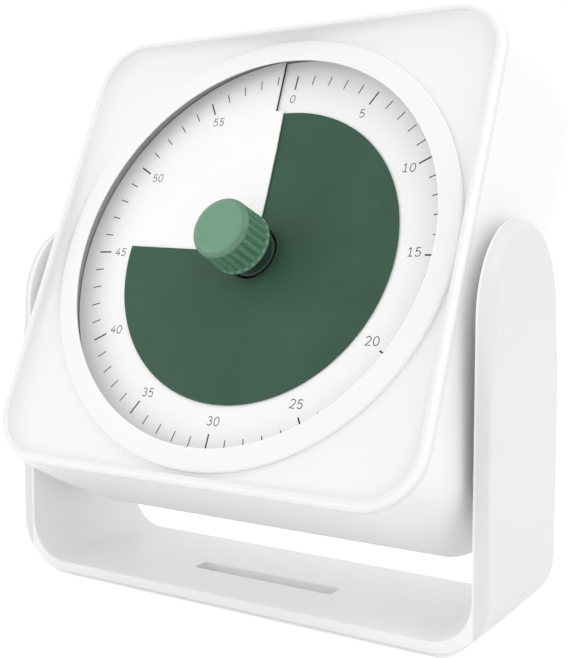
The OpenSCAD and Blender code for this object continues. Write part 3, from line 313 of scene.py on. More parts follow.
class Finish:
    """A material while it is written down: nodes are added one by one, and shade() ends it."""

    def __init__(self, name):
        self.material = bpy.data.materials.new(name)
        self.material.use_nodes = True
        self.tree = self.material.node_tree
        self.tree.nodes.clear()

    def node(self, kind, settings=None, inputs=None, out=0):
        """Adds a node of a kind, sets its settings first and then its sockets, and returns one output."""
        made = self.tree.nodes.new("ShaderNode" + kind)
        for name, value in (settings or {}).items():
            if name == "stops":
                ramp = made.color_ramp.elements
                ramp[0].position, ramp[0].color = value[0]
                ramp[1].position, ramp[1].color = value[-1]
                for position, colour in value[1:-1]:
                    ramp.new(position).color = colour
            else:
                setattr(made, name, value)
        for name, value in (inputs or {}).items():
            socket = made.inputs[name]
            if isinstance(value, Wire):
                self.tree.links.new(value.socket, socket)
            elif socket.type == "VECTOR" and not isinstance(value, tuple):
                socket.default_value = (value, value, value)
            elif socket.type == "RGBA" and len(value) == 3:
                socket.default_value = (*value, 1)
            else:
                socket.default_value = value
        return Wire(self, made.outputs[out]) if made.outputs else None

    def place(self, turn=(0, 0, 0), centre=(0, 0, 0), scale=(1, 1, 1)):
        """The piece's own coordinates, in metres, after a shift, a turn and a stretch."""
        raw = self.node("TexCoord", out="Object")
        return self.node("Mapping", {"vector_type": "TEXTURE"},
                         {"Vector": raw, "Location": centre, "Rotation": turn, "Scale": scale})

    def along(self, way):
        """Distance from the dial's middle along a way, in metres."""
        from_dial = self.node("TexCoord", out="Object") - tuple(dial_middle)
        return self.node("VectorMath", {"operation": "DOT_PRODUCT"}, {0: from_dial, 1: tuple(way)}, out=1)

    def step(self, value, start, stop):
        """From 0 to 1 as the value passes from start to stop, with both ends soft; start may be the larger one."""
        return self.node("MapRange", {"interpolation_type": "SMOOTHSTEP"},
                         {"Value": value, "From Min": start, "From Max": stop})

    def noise(self, size_mm, detail, at=None, rough=0.5):
        """Soft noise from 0 to 1 whose blobs are about size_mm wide."""
        at = at or self.node("TexCoord", out="Object")
        return self.node("TexNoise", None, {"Vector": at, "Scale": 1 / (size_mm * MM), "Detail": detail,
                                            "Roughness": rough})

    def mix(self, share, one, two):
        """Colour between one and two."""
        return self.node("Mix", {"data_type": "RGBA"}, {0: share, 6: one, 7: two}, out=2)

    def span(self, value, low, high):
        """Value moved from 0..1 to low..high, kept inside."""
        return self.node("MapRange", {"clamp": True}, {"Value": value, "To Min": low, "To Max": high})

    def bump(self, height, depth_mm):
        """Normal of a surface whose height runs over depth_mm as the value runs from 0 to 1."""
        return self.node("Bump", None, {"Height": height, "Strength": 1.0, "Distance": depth_mm * MM})

    def shade(self, **sockets):
        """Ends the finish with one Principled shader; underscores in the names stand for spaces."""
        inputs = {name.replace("_", " "): value for name, value in sockets.items()}
        shader = self.node("BsdfPrincipled", None, inputs)
        self.node("OutputMaterial", None, {"Surface": shader})
        return self.material


def tone(colour, factor):
    """A colour made lighter or darker by a factor."""
    return tuple(channel * factor for channel in colour)


print("material writer ready")

# %% [markdown]
# ## White plastic
#
# Stand and case are moulded in white plastic, the case with a finer grain than the stand. Flat white paint
# would look like paper. Three faint things make it plastic: a fine grain that softens the gloss, a roughness
# that drifts a little from place to place, and a tone that drifts even less. All are noises of the piece's own
# coordinates, so that they stay on it when it moves. Some zones have light and shade painted into their tone:
# painted shade on the arms, on the dish towards the lip and on the lip's flat top, and a painted highlight along
# the lip's rounded edges. A soft step along one direction changes the tone there. The bezel ring has a painted
# highlight along both edges.

# %% White finishes
def white_plastic(name, colour, gloss, grain_mm, grain_depth, steps=(), way=(0, 0, 1)):
    """Tone = colour times 0.985 to 1.0 by a broad noise; roughness = gloss plus two noises; bump from the grain.
    Each step (start, stop, factor) changes the tone softly where the distance along way from the dial's middle, in
    mm, passes from start to stop: painted shade where the factor is under 1, a painted highlight where it is over 1."""
    work = Finish(name)
    broad = work.noise(46, 2)
    cloudy = work.noise(9, 2)
    grain = work.noise(grain_mm, 3, rough=0.62)
    colours = work.mix(work.span(broad, 0, 1), tone(colour, 0.985), colour)
    rough = work.span(cloudy * 0.5 + broad * 0.5, gloss - 0.05, gloss + 0.05) + (grain - 0.5) * 0.10
    height = work.along(way) if steps else None
    for start, stop, factor in steps:
        # Painted light: each step paints shade or a highlight into the tone.
        colours = work.mix(work.step(height, start * MM, stop * MM), colours, tone(colour, factor))
    return work.shade(Base_Color=colours, Roughness=rough, Normal=work.bump(grain, grain_depth), IOR=1.5)


case_white = white_plastic("case_white", (0.905, 0.905, 0.90), 0.36, 0.34, 0.0035)
# Painted shade on the dish towards the lip and on the lip's flat top, and a painted highlight along the lip's rounded
# edges.
frame_white = white_plastic("frame_white", (0.86, 0.86, 0.855), 0.36, 0.34, 0.0035, way=face_out,
                            steps=((8.2, 12.4, 0.93), (12.7, 13.2, 1.04), (14.24, 14.36, 0.955)))
# Painted shade on the arms: the tone drops to 0.82 beyond 101 mm from the middle, on both sides.
stand_white = white_plastic("stand_white", (0.92, 0.92, 0.915), 0.42, 0.42, 0.0045, way=face_right,
                            steps=((101.0, 101.8, 0.82), (-101.0, -101.8, 0.82)))
print("white finishes:", case_white.name, frame_white.name, stand_white.name)


def ring_plastic(name, colour, middle, half_wide):
    """White with a painted highlight along both edges: share = smooth step of |radius - middle| past half_wide, in
    mm.
    """
    work = Finish(name)
    u, v = work.along(face_right), work.along(face_up)
    off = work.node("Math", {"operation": "ABSOLUTE"}, {0: (u * u + v * v) ** 0.5 - middle * MM})
    edge = work.step(off, (half_wide - 0.25) * MM, half_wide * MM)
    grain = work.noise(0.34, 3, rough=0.62)
    skin = work.mix(work.noise(46, 2), tone(colour, 0.985), colour)
    # Painted highlight: the edges are toned up to 1.07 times the colour.
    return work.shade(Base_Color=work.mix(edge, skin, tone(colour, 1.07)),
                      Roughness=work.span(work.noise(9, 2), 0.28, 0.38) - edge * 0.08,
                      Normal=work.bump(grain, 0.0028), IOR=1.5)


bezel_white = ring_plastic("bezel_white", (0.865, 0.865, 0.86), 84.4, 4.0)

# %% [markdown]
# ## Dial card, disc and ink
#
# The dial is a printed card with a dull face. The disc is thin green sheet, and it shows the mottle of its
# pigment and a faint brushing round the middle from rubbing on the card. The ink is dark grey, and where it is
# thin the white shows through.

# %% Dial, disc and ink finishes
def dial_card():
    """White with a faint fibre: two noises, one stretched, move tone and roughness."""
    work = Finish("dial_white")
    broad = work.noise(30, 2)
    fibre = work.noise(0.5, 4, rough=0.6)
    colours = work.mix(broad * 0.6 + fibre * 0.4, (0.905, 0.905, 0.90), (0.93, 0.93, 0.926))
    return work.shade(Base_Color=colours, Roughness=work.span(fibre, 0.46, 0.58),
                      Normal=work.bump(fibre, 0.002), IOR=1.46)


def disc_sheet():
    """Green whose tone drifts over 25 mm and 4 mm, with rings of fine scuffs: a noise of (radius, height)."""
    work = Finish("disc_green")
    lean = math.atan2(face_up[1], face_up[2])
    flat = work.place(turn=(-lean + math.pi / 2, 0, 0), centre=tuple(dial_middle))
    parts = {axis: work.node("SeparateXYZ", None, {0: flat}, out=axis) for axis in "XYZ"}
    radius = (parts["X"] ** 2.0 + parts["Z"] ** 2.0) ** 0.5
    turned_at = work.node("CombineXYZ", None, {"X": radius * 9.0, "Y": parts["X"] * 0.25, "Z": parts["Z"] * 0.25})
    rings = work.noise(1.4, 3, at=turned_at, rough=0.6)
    broad, blotch = work.noise(34, 2), work.noise(5.5, 3)
    share = work.span(broad * 0.72 + blotch * 0.20 + rings * 0.08, -0.35, 1.35)
    colours = work.mix(share, (0.027, 0.071, 0.044), (0.042, 0.112, 0.069))
    return work.shade(Base_Color=colours, Roughness=work.span(rings * 0.6 + blotch * 0.4, 0.40, 0.56),
                      Normal=work.bump(rings * 0.5 + work.noise(0.4, 2) * 0.5, 0.0025), IOR=1.5,
                      Specular_IOR_Level=0.25)


def printed_ink():
    """Dark grey that is thinner in specks of 0.3 mm."""
    work = Finish("printed_ink")
    specks = work.noise(0.3, 2)
    return work.shade(Base_Color=work.mix(specks, (0.010, 0.010, 0.011), (0.034, 0.034, 0.035)),
                      Roughness=work.span(specks, 0.42, 0.58), IOR=1.5)


dial_white, disc_green, ink = dial_card(), disc_sheet(), printed_ink()
print("dial finishes:", dial_white.name, disc_green.name, ink.name)

# %% [markdown]
# ## Coloured plastics
#
# Knob, collar and chassis are dyed through. They share one recipe with their own colour, gloss and grain.
# The knob is touched all day, so its gloss drifts more than that of the hidden pieces. Its flute floors and a
# band on its shoulder are painted darker: painted shade.

# %% Coloured plastic finishes
def dyed_plastic(name, colour, gloss, drift=0.05, spread=0.06, grain_mm=0.4, grain_depth=0.003):
    """Colour between two tones that lie spread apart, roughness gloss +- drift, and a fine grain."""
    work = Finish(name)
    broad, cloudy, grain = work.noise(12, 2), work.noise(2.6, 3), work.noise(grain_mm, 3, rough=0.6)
    colours = work.mix(broad * 0.65 + cloudy * 0.35, tone(colour, 1 - spread), tone(colour, 1 + spread))
    rough = work.span(cloudy * 0.6 + grain * 0.4, gloss - drift, gloss + drift)
    return work.shade(Base_Color=colours, Roughness=rough, Normal=work.bump(grain, grain_depth), IOR=1.5)


def fluted_plastic(name, colour, gloss, flutes, low, high):
    """Dyed plastic with painted shade along the floors of the flutes, which are also duller: share = smooth step of
    cos(flutes * angle), where the angle runs round the dial's axis, faded out at the low and high ends of the
    flutes, in mm over the dial. A band of painted shade lies on the shoulder over them too."""
    work = Finish(name)
    cloudy, grain = work.noise(2.6, 3), work.noise(0.4, 3, rough=0.6)
    out, up, right = work.along(face_out), work.along(face_up), work.along(face_right)
    angle = work.node("Math", {"operation": "ARCTAN2"}, {0: right, 1: up})
    wave = work.node("Math", {"operation": "COSINE"}, {0: angle * float(flutes)})
    foot_end, top_end, shoulder_shade_start, shoulder_shade_end = (
        work.step(out, start * MM, stop * MM) for start, stop in
        ((low, low + 1.4), (high + 0.2, high - 2.8), (high - 0.8, high + 0.6), (high + 2.6, high + 2.0)))
    # Painted shade: the flute floors and a band on the shoulder are toned towards 0.35 times the colour.
    flute_floor_shade, band = work.step(wave, -0.2, 1.0) * foot_end * top_end, shoulder_shade_start * shoulder_shade_end
    skin = work.mix(work.noise(12, 2) * 0.65 + cloudy * 0.35, tone(colour, 0.95), tone(colour, 1.05))
    rough = work.span(cloudy * 0.6 + grain * 0.4, gloss - 0.08, gloss + 0.08) + flute_floor_shade * 0.12
    return work.shade(Base_Color=work.mix(flute_floor_shade * 0.44 + band * 0.38, skin, tone(colour, 0.35)), Roughness=rough,
                      Normal=work.bump(grain, 0.003), IOR=1.5)


knob_green = fluted_plastic("knob_green", (0.132, 0.292, 0.188), 0.27, 24, 9.9, 22.6)
collar_green = dyed_plastic("collar_green", (0.034, 0.062, 0.046), 0.40)
hub_green = dyed_plastic("hub_green", (0.030, 0.078, 0.050), 0.42)
chassis_grey = dyed_plastic("chassis_grey", (0.38, 0.38, 0.382), 0.50)
movement_grey = dyed_plastic("movement_grey", (0.45, 0.45, 0.43), 0.45)
switch_grey = dyed_plastic("switch_grey", (0.26, 0.26, 0.265), 0.42)
pad_rubber = dyed_plastic("pad_rubber", (0.032, 0.032, 0.034), 0.72, grain_mm=0.8, grain_depth=0.03)
washer_grey = dyed_plastic("washer_grey", (0.06, 0.06, 0.062), 0.55)
lead_red = dyed_plastic("lead_red", (0.32, 0.014, 0.014), 0.40)
chip_black = dyed_plastic("chip_black", (0.012, 0.012, 0.012), 0.45)
print("dyed finishes: 10")

# %% [markdown]
# ## Metals, board and cell
#
# Inside are screws, brass wheels, a coil, a board and a cell. They show when the battery door is open or the
# case is taken apart, so they get their own finishes too: turned metal has fine streaks, the coil has its
# windings, the board its copper tracks under green lacquer, and the cell a plain two-coloured jacket.

# %% Metal finishes
def bare_metal(name, colour, gloss, streak=(1, 1, 12)):
    """Metal whose roughness and tone follow a stretched noise, like the marks of a tool."""
    work = Finish(name)
    marks = work.noise(0.6, 3, at=work.place(scale=tuple(1 / s for s in streak)), rough=0.6)
    stain = work.noise(5, 3)
    return work.shade(Base_Color=work.mix(stain * 0.5 + marks * 0.5, tone(colour, 0.88), colour), Metallic=1.0,
                      Roughness=work.span(marks * 0.7 + stain * 0.3, gloss - 0.08, gloss + 0.1),
                      Normal=work.bump(marks, 0.002))


screw_steel = bare_metal("screw_steel", (0.56, 0.57, 0.58), 0.30)
bush_brass = bare_metal("bush_brass", (0.72, 0.52, 0.22), 0.30)
core_iron = bare_metal("core_iron", (0.36, 0.37, 0.38), 0.42)
magnet_grey = bare_metal("magnet_grey", (0.16, 0.16, 0.17), 0.48)


def coil_windings():
    """Copper wire side by side: a band pattern along the coil's axis gives tone and bump."""
    work = Finish("coil_copper")
    lean = math.atan2(face_up[1], face_up[2])
    bands = work.node("TexWave", {"wave_type": "BANDS", "bands_direction": "Z", "wave_profile": "SIN"},
                      {"Vector": work.place(turn=(-lean, 0, 0)), "Scale": 1200.0, "Distortion": 0.6})
    return work.shade(Base_Color=work.mix(bands, (0.36, 0.12, 0.05), (0.62, 0.26, 0.12)), Metallic=1.0,
                      Roughness=work.span(bands, 0.28, 0.42), Normal=work.bump(bands, 0.02))


def board_lacquer():
    """Green lacquer over copper tracks: a brick pattern of thin lines is lighter where a track runs."""
    work = Finish("board_green")
    tracks = work.node("TexBrick", {"offset": 0.37, "squash": 0.7},
                       {"Vector": work.node("TexCoord", out="Object"), "Color1": (0, 0, 0, 1),
                        "Color2": (0, 0, 0, 1), "Mortar": (1, 1, 1, 1), "Scale": 220.0, "Mortar Size": 0.03,
                        "Brick Width": 1.1, "Row Height": 0.45})
    weave = work.noise(0.7, 2)
    lacquer = work.mix(weave, (0.012, 0.085, 0.035), (0.016, 0.11, 0.045))
    return work.shade(Base_Color=work.mix(tracks, lacquer, (0.05, 0.21, 0.09)),
                      Roughness=work.span(weave, 0.26, 0.40), Normal=work.bump(weave, 0.01))


def cell_jacket_finish():
    """Film jacket in two plain colours: a step along u, at the cell's third near its nub, with metal ends."""
    work = Finish("cell_jacket")
    along = work.node("SeparateXYZ", None, {0: work.node("TexCoord", out="Object")}, out="X")
    film = work.noise(3, 2)
    ring, bare = work.step(along, 0.0108, 0.0112), work.step(along, 0.0277, 0.0279)
    body = work.mix(ring, (0.020, 0.022, 0.026), (0.55, 0.30, 0.08))
    return work.shade(Base_Color=work.mix(bare, body, (0.60, 0.60, 0.61)),
                      Metallic=work.span(ring * 0.45 + bare * 0.55, 0.0, 1.0),
                      Roughness=work.span(film, 0.24, 0.36), Normal=work.bump(film, 0.006))


coil_copper, board_green, cell_jacket = coil_windings(), board_lacquer(), cell_jacket_finish()
print("metals, board and cell ready")

# %% [markdown]
# ## The stand
#
# One wide band, bent into a U: a flat base, two round corners and two arms whose tops are half discs with a
# soft dome on the outside. A bent band is a profile carried along a path. The path runs from the top of one
# arm down, across the base and up the other arm. At each station there is an inner and an outer point, and
# the cross-section between them is a closed loop: along the inner face, over the rounded edge, and back along
# the outer face. Towards the arm's top the band narrows as a circle does, so the half disc comes by itself.

# %% Stand: the path
pivot_z = joints["head_tilt"]["pos_m"][2] / MM
band_half = 33.25
arm_in, arm_out = 100.5, 106.5
base_low, base_high = 1.0, 5.5
corner_in, corner_out = 16.25, 21.5


def half_path():
    """Stations from the middle of the base to the top of the right arm. Columns: inner x, inner z, outer x,
    outer z, half width. Corners are quarter circles. Up the half disc, height = r sin(p) and half width =
    r cos(p)."""
    x = np.linspace(0, arm_in - corner_in, 12, endpoint=False)
    outer_x = x * (arm_out - corner_out) / (arm_in - corner_in)
    base = np.stack([x, 0 * x + base_high, outer_x, 0 * x + base_low], -1)
    a = np.radians(np.linspace(0, 90, 19))
    bend = np.stack([arm_in - corner_in * (1 - np.sin(a)), base_high + corner_in * (1 - np.cos(a)),
                     arm_out - corner_out * (1 - np.sin(a)), base_low + corner_out * (1 - np.cos(a))], -1)
    z = np.linspace(base_low + corner_out, pivot_z, 26)[1:]
    arm = np.stack([0 * z + arm_in, z, 0 * z + arm_out, z], -1)
    p = np.radians(np.linspace(0, 90, 37))[1:]
    top_z = pivot_z + band_half * np.sin(p)
    top = np.stack([0 * p + arm_in, top_z, 0 * p + arm_out, top_z], -1)
    straight = np.concatenate([base, bend, arm])
    width = np.concatenate([np.full(len(straight), band_half), band_half * np.cos(p)])
    return np.column_stack([np.concatenate([straight, top]), width])


right_half = half_path()
left_half = (right_half * [-1, 1, -1, 1, 1])[:0:-1]
stand_path = np.concatenate([left_half, right_half])
print("stations along the band:", len(stand_path))

# %% Stand: the cross-section
dome, dome_low, dome_run, inner_soft = 4.8, 1.1, 26, 0.6


def border_drop(soft, reach):
    """How far a face drops where its border of radius soft begins: s - sqrt(s^2 - d^2), d being the way into it."""
    return soft - np.sqrt(soft ** 2 - np.clip(reach - (band_half - soft), 0, soft) ** 2)


def band_grid(path):
    """At each station, points across the band at y = half width * sin(q), drawn in by the drop of each face. The
    outer border's radius grows from dome_low to dome over the last dome_run below the pivot."""
    q = np.radians(np.linspace(-90, 90, 73))[None, :]
    xi, zi, xo, zo, half = (path[:, k:k + 1] for k in range(5))
    y = half * np.sin(q)
    above = np.maximum(zo - pivot_z, 0)
    reach = np.sqrt(y ** 2 + above ** 2)
    blend = np.clip((zo - (pivot_z - dome_run)) / dome_run, 0, 1)
    outer_drop = border_drop(dome_low + (dome - dome_low) * blend ** 2 * (3 - 2 * blend), reach)
    inner_drop = border_drop(inner_soft, reach)
    thick = np.hypot(xo - xi, zo - zi)
    way_x, way_z = (xo - xi) / thick, (zo - zi) / thick
    inner = np.stack([xi + way_x * inner_drop, y, zi + way_z * inner_drop], -1)
    outer = np.stack([xo - way_x * outer_drop, y, zo - way_z * outer_drop], -1)
    return np.concatenate([inner, outer[:, ::-1]], axis=1)


def round_rect(half_x, half_y, radius, steps=8):
    """Closed outline of a rectangle with round corners."""
    return rounded([(-half_x, -half_y, radius), (half_x, -half_y, radius), (half_x, half_y, radius),
                    (-half_x, half_y, radius)], steps)


def prism(outline, low, high):
    """Outline carried from low to high."""
    return grid_solid(np.stack([np.column_stack([outline, np.full(len(outline), z)]) for z in (low, high)]))


slot_middle, slot_long, slot_wide, slot_corner = (0, -5), 33, 4.3, 1.5
thread_r, thread_deep = 4.02, 3.9
peg_profile = np.array([(0, 95.7), (1.2, 95.7), (1.5, 96.0), (1.5, 101.5), (0, 101.5)])
peg_z = pivot_z - 12.5

stand = plain_mesh("stand_band", [grid_solid(band_grid(stand_path))], on_table)
slot_cut = prism(round_rect(slot_long, slot_wide, slot_corner) + slot_middle, base_low - 1, base_high + 1)
thread_bores = [across(rod(thread_r, arm_in - 1, arm_in + thread_deep), side, 0, pivot_z) for side in (-1, 1)]
work_on(stand, [slot_cut] + thread_bores, on_table, "DIFFERENCE")
pegs = [across(turned_lump(peg_profile, 32), side, 0, peg_z) for side in (-1, 1)]
work_on(stand, pegs, on_table, "UNION")
finish_piece(stand, "stand", ["stand"], stand_white)

# %% [markdown]
# ## The front frame
#
# The face of the head has a thin raised lip round its edge, and inside it a dish that runs from a circle, at the
# bezel, to a rounded square, at the lip. Each line of the profile is therefore an outline of its own between circle
# and square. In polar form that is easy: each outline is a distance from the middle as a function of the angle,
# and the two distances are mixed. The grid is then (line of the profile, angle).

# %% Front frame: outlines between circle and square
lip_half, lip_corner, lip_top, lip_foot = 95.0, 23.0, 14.4, 11.0
lip_in, skirt_in, skirt_low, dish_under = 91.2, 92.2, -2, 9.6
bezel_out, bezel_top = 88.8, 9.3
dish_start, dish_end = bezel_out + 0.03, lip_in
dish_low, dish_high, dish_thick = 7.3, 12.8, 1.6
face_turns = 480


def square_reach(half, corner, angle):
    """Distance from the middle to a rounded square: to its flat side half / max(|cos|, |sin|), or, where the ray
    meets the corner's arc, the larger root of the ray and circle equation."""
    c, s = np.abs(np.cos(angle)), np.abs(np.sin(angle))
    flat = half / np.maximum(c, s)
    inset = half - corner
    along = inset * (c + s)
    arc = along + np.sqrt(np.maximum(corner ** 2 - 2 * inset ** 2 + along ** 2, 0))
    return np.where(flat * np.minimum(c, s) <= inset, flat, arc)


def face_reach(x, angle):
    """Outline that passes x from the middle of a side: a circle up to the dish, a rounded square at the lip, and
    a mix of both outlines between them."""
    share = np.clip((x - dish_start) / (dish_end - dish_start), 0, 1)
    circle = np.minimum(x, dish_start)
    half = np.maximum(x, dish_end)
    return circle * (1 - share) + square_reach(half, lip_corner - (lip_half - half), angle) * share


def dish_line(steps, drop=0.0):
    """Profile of the dish: height = low + (high - low) * share^4, from the bezel to the lip, with the points
    closer together where it is steep."""
    share = np.sin(np.linspace(0, np.pi / 2, steps))
    return np.column_stack([dish_start + (dish_end - dish_start) * share,
                            dish_low + (dish_high - dish_low) * share ** 4 - drop])


def frame_profile():
    """Closed loop: the dish out to the lip, over the lip, down its edge and the skirt, and back under the dish."""
    lip = rounded([(lip_in, dish_high, 0), (lip_in, lip_top, 0.6), (lip_half, lip_top, 2.9),
                   (lip_half, lip_foot, 0.25), (skirt_in, lip_foot, 0), (skirt_in, skirt_low, 0.4),
                   (lip_in, skirt_low, 0.3), (lip_in, dish_under, 0)], 6)
    return np.concatenate([dish_line(30), lip[7:-7], dish_line(14, dish_thick)[::-1]])


profile = frame_profile()
angle = np.linspace(0, 2 * np.pi, face_turns, endpoint=False)[None, :]
reach = face_reach(profile[:, :1], angle)
frame_grid = np.stack([reach * np.cos(angle), reach * np.sin(angle), profile[:, 1:] + 0 * angle], -1)
print("profile points:", len(profile), "lowest and highest w:", profile[:, 1].min(), profile[:, 1].max())

# %% Front frame: bosses under the dish
post, ear_r, boss_top = 74.0, 98, 6.4
corners = [(su * post, sv * post) for su in (-1, 1) for sv in (-1, 1)]
ear_angles = np.radians(35 + 90 * np.arange(4))
ears = np.column_stack([-ear_r * np.sin(ear_angles), ear_r * np.cos(ear_angles)])
bosses = [turned(tube_profile(1.6, 4.5, -10, boss_top), 40, at) for at in corners]
bosses += [turned(tube_profile(1.3, 3.5, -6, boss_top), 40, at) for at in ears]
front = plain_mesh("front_lip_and_dish", [grid_solid(frame_grid, ring=True)] + bosses, on_head)
finish_piece(front, "head", ["front_frame"], frame_white)

# %% [markdown]
# ## The bezel ring
#
# A flat ring stands round the dial. Its inner edge is thin, so that the dial's gap shows under it, and its outer
# edge is soft. Its foot goes down between the dial's chassis and the dish and snaps in with a small flange.
# It is a turned piece: one rounded profile round the dial's axis.

# %% Bezel ring
ring_in, ring_under, foot_in, flange_r, flange_low, flange_high = 80, 8.4, 87.7, 89.8, 4.68, 5.68
ring_profile = rounded([(ring_in, ring_under, 0.25), (foot_in, ring_under, 0.1), (foot_in, flange_low, 0.1),
                        (flange_r, flange_low, 0.2), (flange_r, flange_high, 0.2), (bezel_out, flange_high, 0),
                        (bezel_out, bezel_top, 0.9), (ring_in, bezel_top, 0.4)], 6)
bezel = plain_mesh("bezel_ring_turned", [turned(ring_profile, 360)], on_head)
finish_piece(bezel, "head", ["bezel_ring"], bezel_white)

# %% [markdown]
# ## The rear case
#
# The case is a deep bucket. Its sides swell out a little behind the lip and its corners grow a little tighter
# towards the back, so every row of the grid is a rounded square with its own half side and corner radius. The
# rows run from the middle of the inside, up the inner wall, over the rim, down the outside and across the back.
# Pads, tubes and the battery bay are added, and the openings are then taken away.

# %% Rear case: the bucket
case_deep, back_round, wall = 62.0, 13.0, 2.5
swell, swell_run, back_corner, corner_run = 2.0, 36, 19.0, 60


def square_walk(arc_steps=14, side_steps=6):
    """Points round a square as (sign, unit): place = sign * (half - corner) + unit * corner. Along a corner only
    the unit turns; along a side only the sign moves from one corner to the next."""
    a = np.radians(np.linspace(0, 90, arc_steps + 1))
    unit = np.column_stack([np.cos(a), np.sin(a)])
    sign = np.ones_like(unit)
    t = np.linspace(0, 1, side_steps + 1)[1:-1, None]
    side_sign = (1 - t) * [1, 1] + t * [-1, 1]
    side_unit = 0 * t + [0, 1]
    quarter = np.concatenate([sign, side_sign]), np.concatenate([unit, side_unit])
    turns = [np.array([[c, s], [-s, c]]) for c, s in ((1, 0), (0, 1), (-1, 0), (0, -1))]
    return np.concatenate([quarter[0] @ t for t in turns]), np.concatenate([quarter[1] @ t for t in turns])


walk_sign, walk_unit = square_walk()


def square_rows(half, corner, w):
    """Grid of rounded squares, one row for each half side, corner radius and height."""
    half, corner, w = (np.asarray(x, float)[:, None] for x in (half, corner, w))
    flat = walk_sign[None] * (half - corner)[..., None] + walk_unit[None] * corner[..., None]
    return np.concatenate([flat, np.broadcast_to(w[..., None], flat.shape[:2] + (1,))], -1)


def case_rows(inset, rim, rim_soft=0.0):
    """Half side, corner and height from the rim to the back. The side swells by a quarter sine over swell_run, and
    the back edge is a quarter circle."""
    w = np.linspace(rim, -case_deep + back_round, 24)
    gone = np.clip((lip_foot - w) / swell_run, 0, 1)
    half = lip_half + swell * np.sin(np.pi / 2 * gone) - inset
    corner = lip_corner + (back_corner - lip_corner) * np.clip((lip_foot - w) / corner_run, 0, 1) - inset
    a = np.radians(np.linspace(0, 90, 15))[1:]
    r = back_round - inset
    back_half = half[-1] - r * (1 - np.cos(a))
    back_corner_r = corner[-1] - r * (1 - np.cos(a))
    back_w = -case_deep + back_round - r * np.sin(a)
    rows = np.column_stack([np.r_[half, back_half], np.r_[corner, back_corner_r], np.r_[w, back_w]])
    if rim_soft:
        b = np.radians(np.linspace(90, 0, 4))[:-1]
        soft = np.column_stack([rows[0, 0] - rim_soft * (1 - np.cos(b)), rows[0, 1] - rim_soft * (1 - np.cos(b)),
                                rim - rim_soft * (1 - np.sin(b))])
        rows[0] = [rows[0, 0], rows[0, 1], rim - rim_soft]
        rows = np.concatenate([soft, rows])
    return rows


outside, inside = case_rows(0, lip_foot, 0.25), case_rows(wall, lip_foot)
bucket_rows = np.concatenate([inside[::-1], outside])
bucket = grid_solid(square_rows(*bucket_rows.T))
rear = plain_mesh("rear_bucket", [bucket], on_head)
print("case rows:", len(bucket_rows), "columns:", len(walk_sign))

# %% Rear case: what stands inside
pivot_v, pivot_w = -14.0, -20.0
pad_out, pad_in, pad_r = 97.5, 88.5, 17
pad_profile = np.array([(0, pad_in), (pad_r, pad_in), (pad_r, pad_out - 0.35), (pad_r - 0.1, pad_out - 0.1),
                        (pad_r - 0.35, pad_out), (0, pad_out)])
pads = [across(turned_lump(pad_profile, 96), side, pivot_v, pivot_w) for side in (-1, 1)]
tubes = [rod(5.5, -60.5, -10, at) for at in corners]
cell_v, bay_u, bay_v = -60.0, 29.5, 7.6
bay_low, bay_floor = -59.7, -44.9
bay = [brick((-31, cell_v - 9.1, bay_low), (31, cell_v + 9.1, bay_floor + 1.5)),
       brick((-32, cell_v + bay_v, bay_low), (32, -46.4, bay_low + 1.5)),
       brick((-32, -77.25, -59.2), (32, cell_v - bay_v, -57.7))]
board_posts = [rod(2.6, -60.5, -51, (26 * su, 40 + 12 * sv), 32) for su in (-1, 1) for sv in (-1, 1)]
work_on(rear, pads + tubes + bay + board_posts, on_head, "UNION")

# %% Rear case: the openings
groove_in, groove_out, groove_low, groove_margin = 10.7, 14.3, 95.2, 8.3


def groove(side):
    """Stop groove in a side pad: a block between two radii, swept from upright to face up, with a margin."""
    a = np.radians(np.linspace(-90 - groove_margin, groove_margin, 25))[:, None]
    r = np.array([[groove_in, groove_out, groove_out, groove_in]])
    depth = np.array([[groove_low, groove_low, pad_out + 1, pad_out + 1]])
    grid = np.stack([r * np.cos(a), r * np.sin(a), depth + 0 * a], -1)
    points, faces = grid_solid(grid)
    x, y, z = points.T
    return outward_again(np.stack([side * z, pivot_v + y, pivot_w - x], -1), faces)


def flared_hole(r, at, w_low, w_high, flare=0.35, columns=40):
    """Round hole from the back face inwards whose mouth is a little wider. Its cone starts 0.2 mm outside the face,
    because a tool with an edge in the very plane that it cuts can leave a film over the hole."""
    steps = np.array([(r + flare + 0.2, w_low - 0.2), (r, w_low + flare), (r, w_high)])
    return turned_lump(steps, columns, at)


sound_middle = np.array([-10.0, 40.0])
hole_angles = np.radians(45 * np.arange(8))
sound_at = np.concatenate([[[0, 0]], 6 * np.column_stack([np.cos(hole_angles), np.sin(hole_angles)])])
openings = [across(rod(8.07, pad_in - 1, pad_out + 1, columns=64), side, pivot_v, pivot_w) for side in (-1, 1)]
openings += [groove(side) for side in (-1, 1)]
openings += [flared_hole(3.5, at, -case_deep, -14) for at in corners]
openings += [rod(1.8, -15, -9, at, 24) for at in corners]
openings += [flared_hole(1.0, at, -case_deep, -58.5, 0.3, 24) for at in sound_middle + sound_at]
openings += [prism(round_rect(5.3, 2.3, 0.6) + [22, 40], -case_deep - 1, -58.5),
             brick((-bay_u, cell_v - bay_v, -63), (bay_u, cell_v + bay_v, bay_floor)),
             prism(round_rect(31.4, 13.8, 1.8) + [0, -61.8], -case_deep - 1, bay_low),
             brick((-31.4, -75.65, -61), (31.4, -72.75, -59.2))]
openings += [brick((side * 29.3 - 0.3, cell_v - 2.1, bay_floor - 1), (side * 29.3 + 0.3, cell_v + 2.1, bay_floor + 3))
             for side in (-1, 1)]
work_on(rear, openings, on_head, "DIFFERENCE")

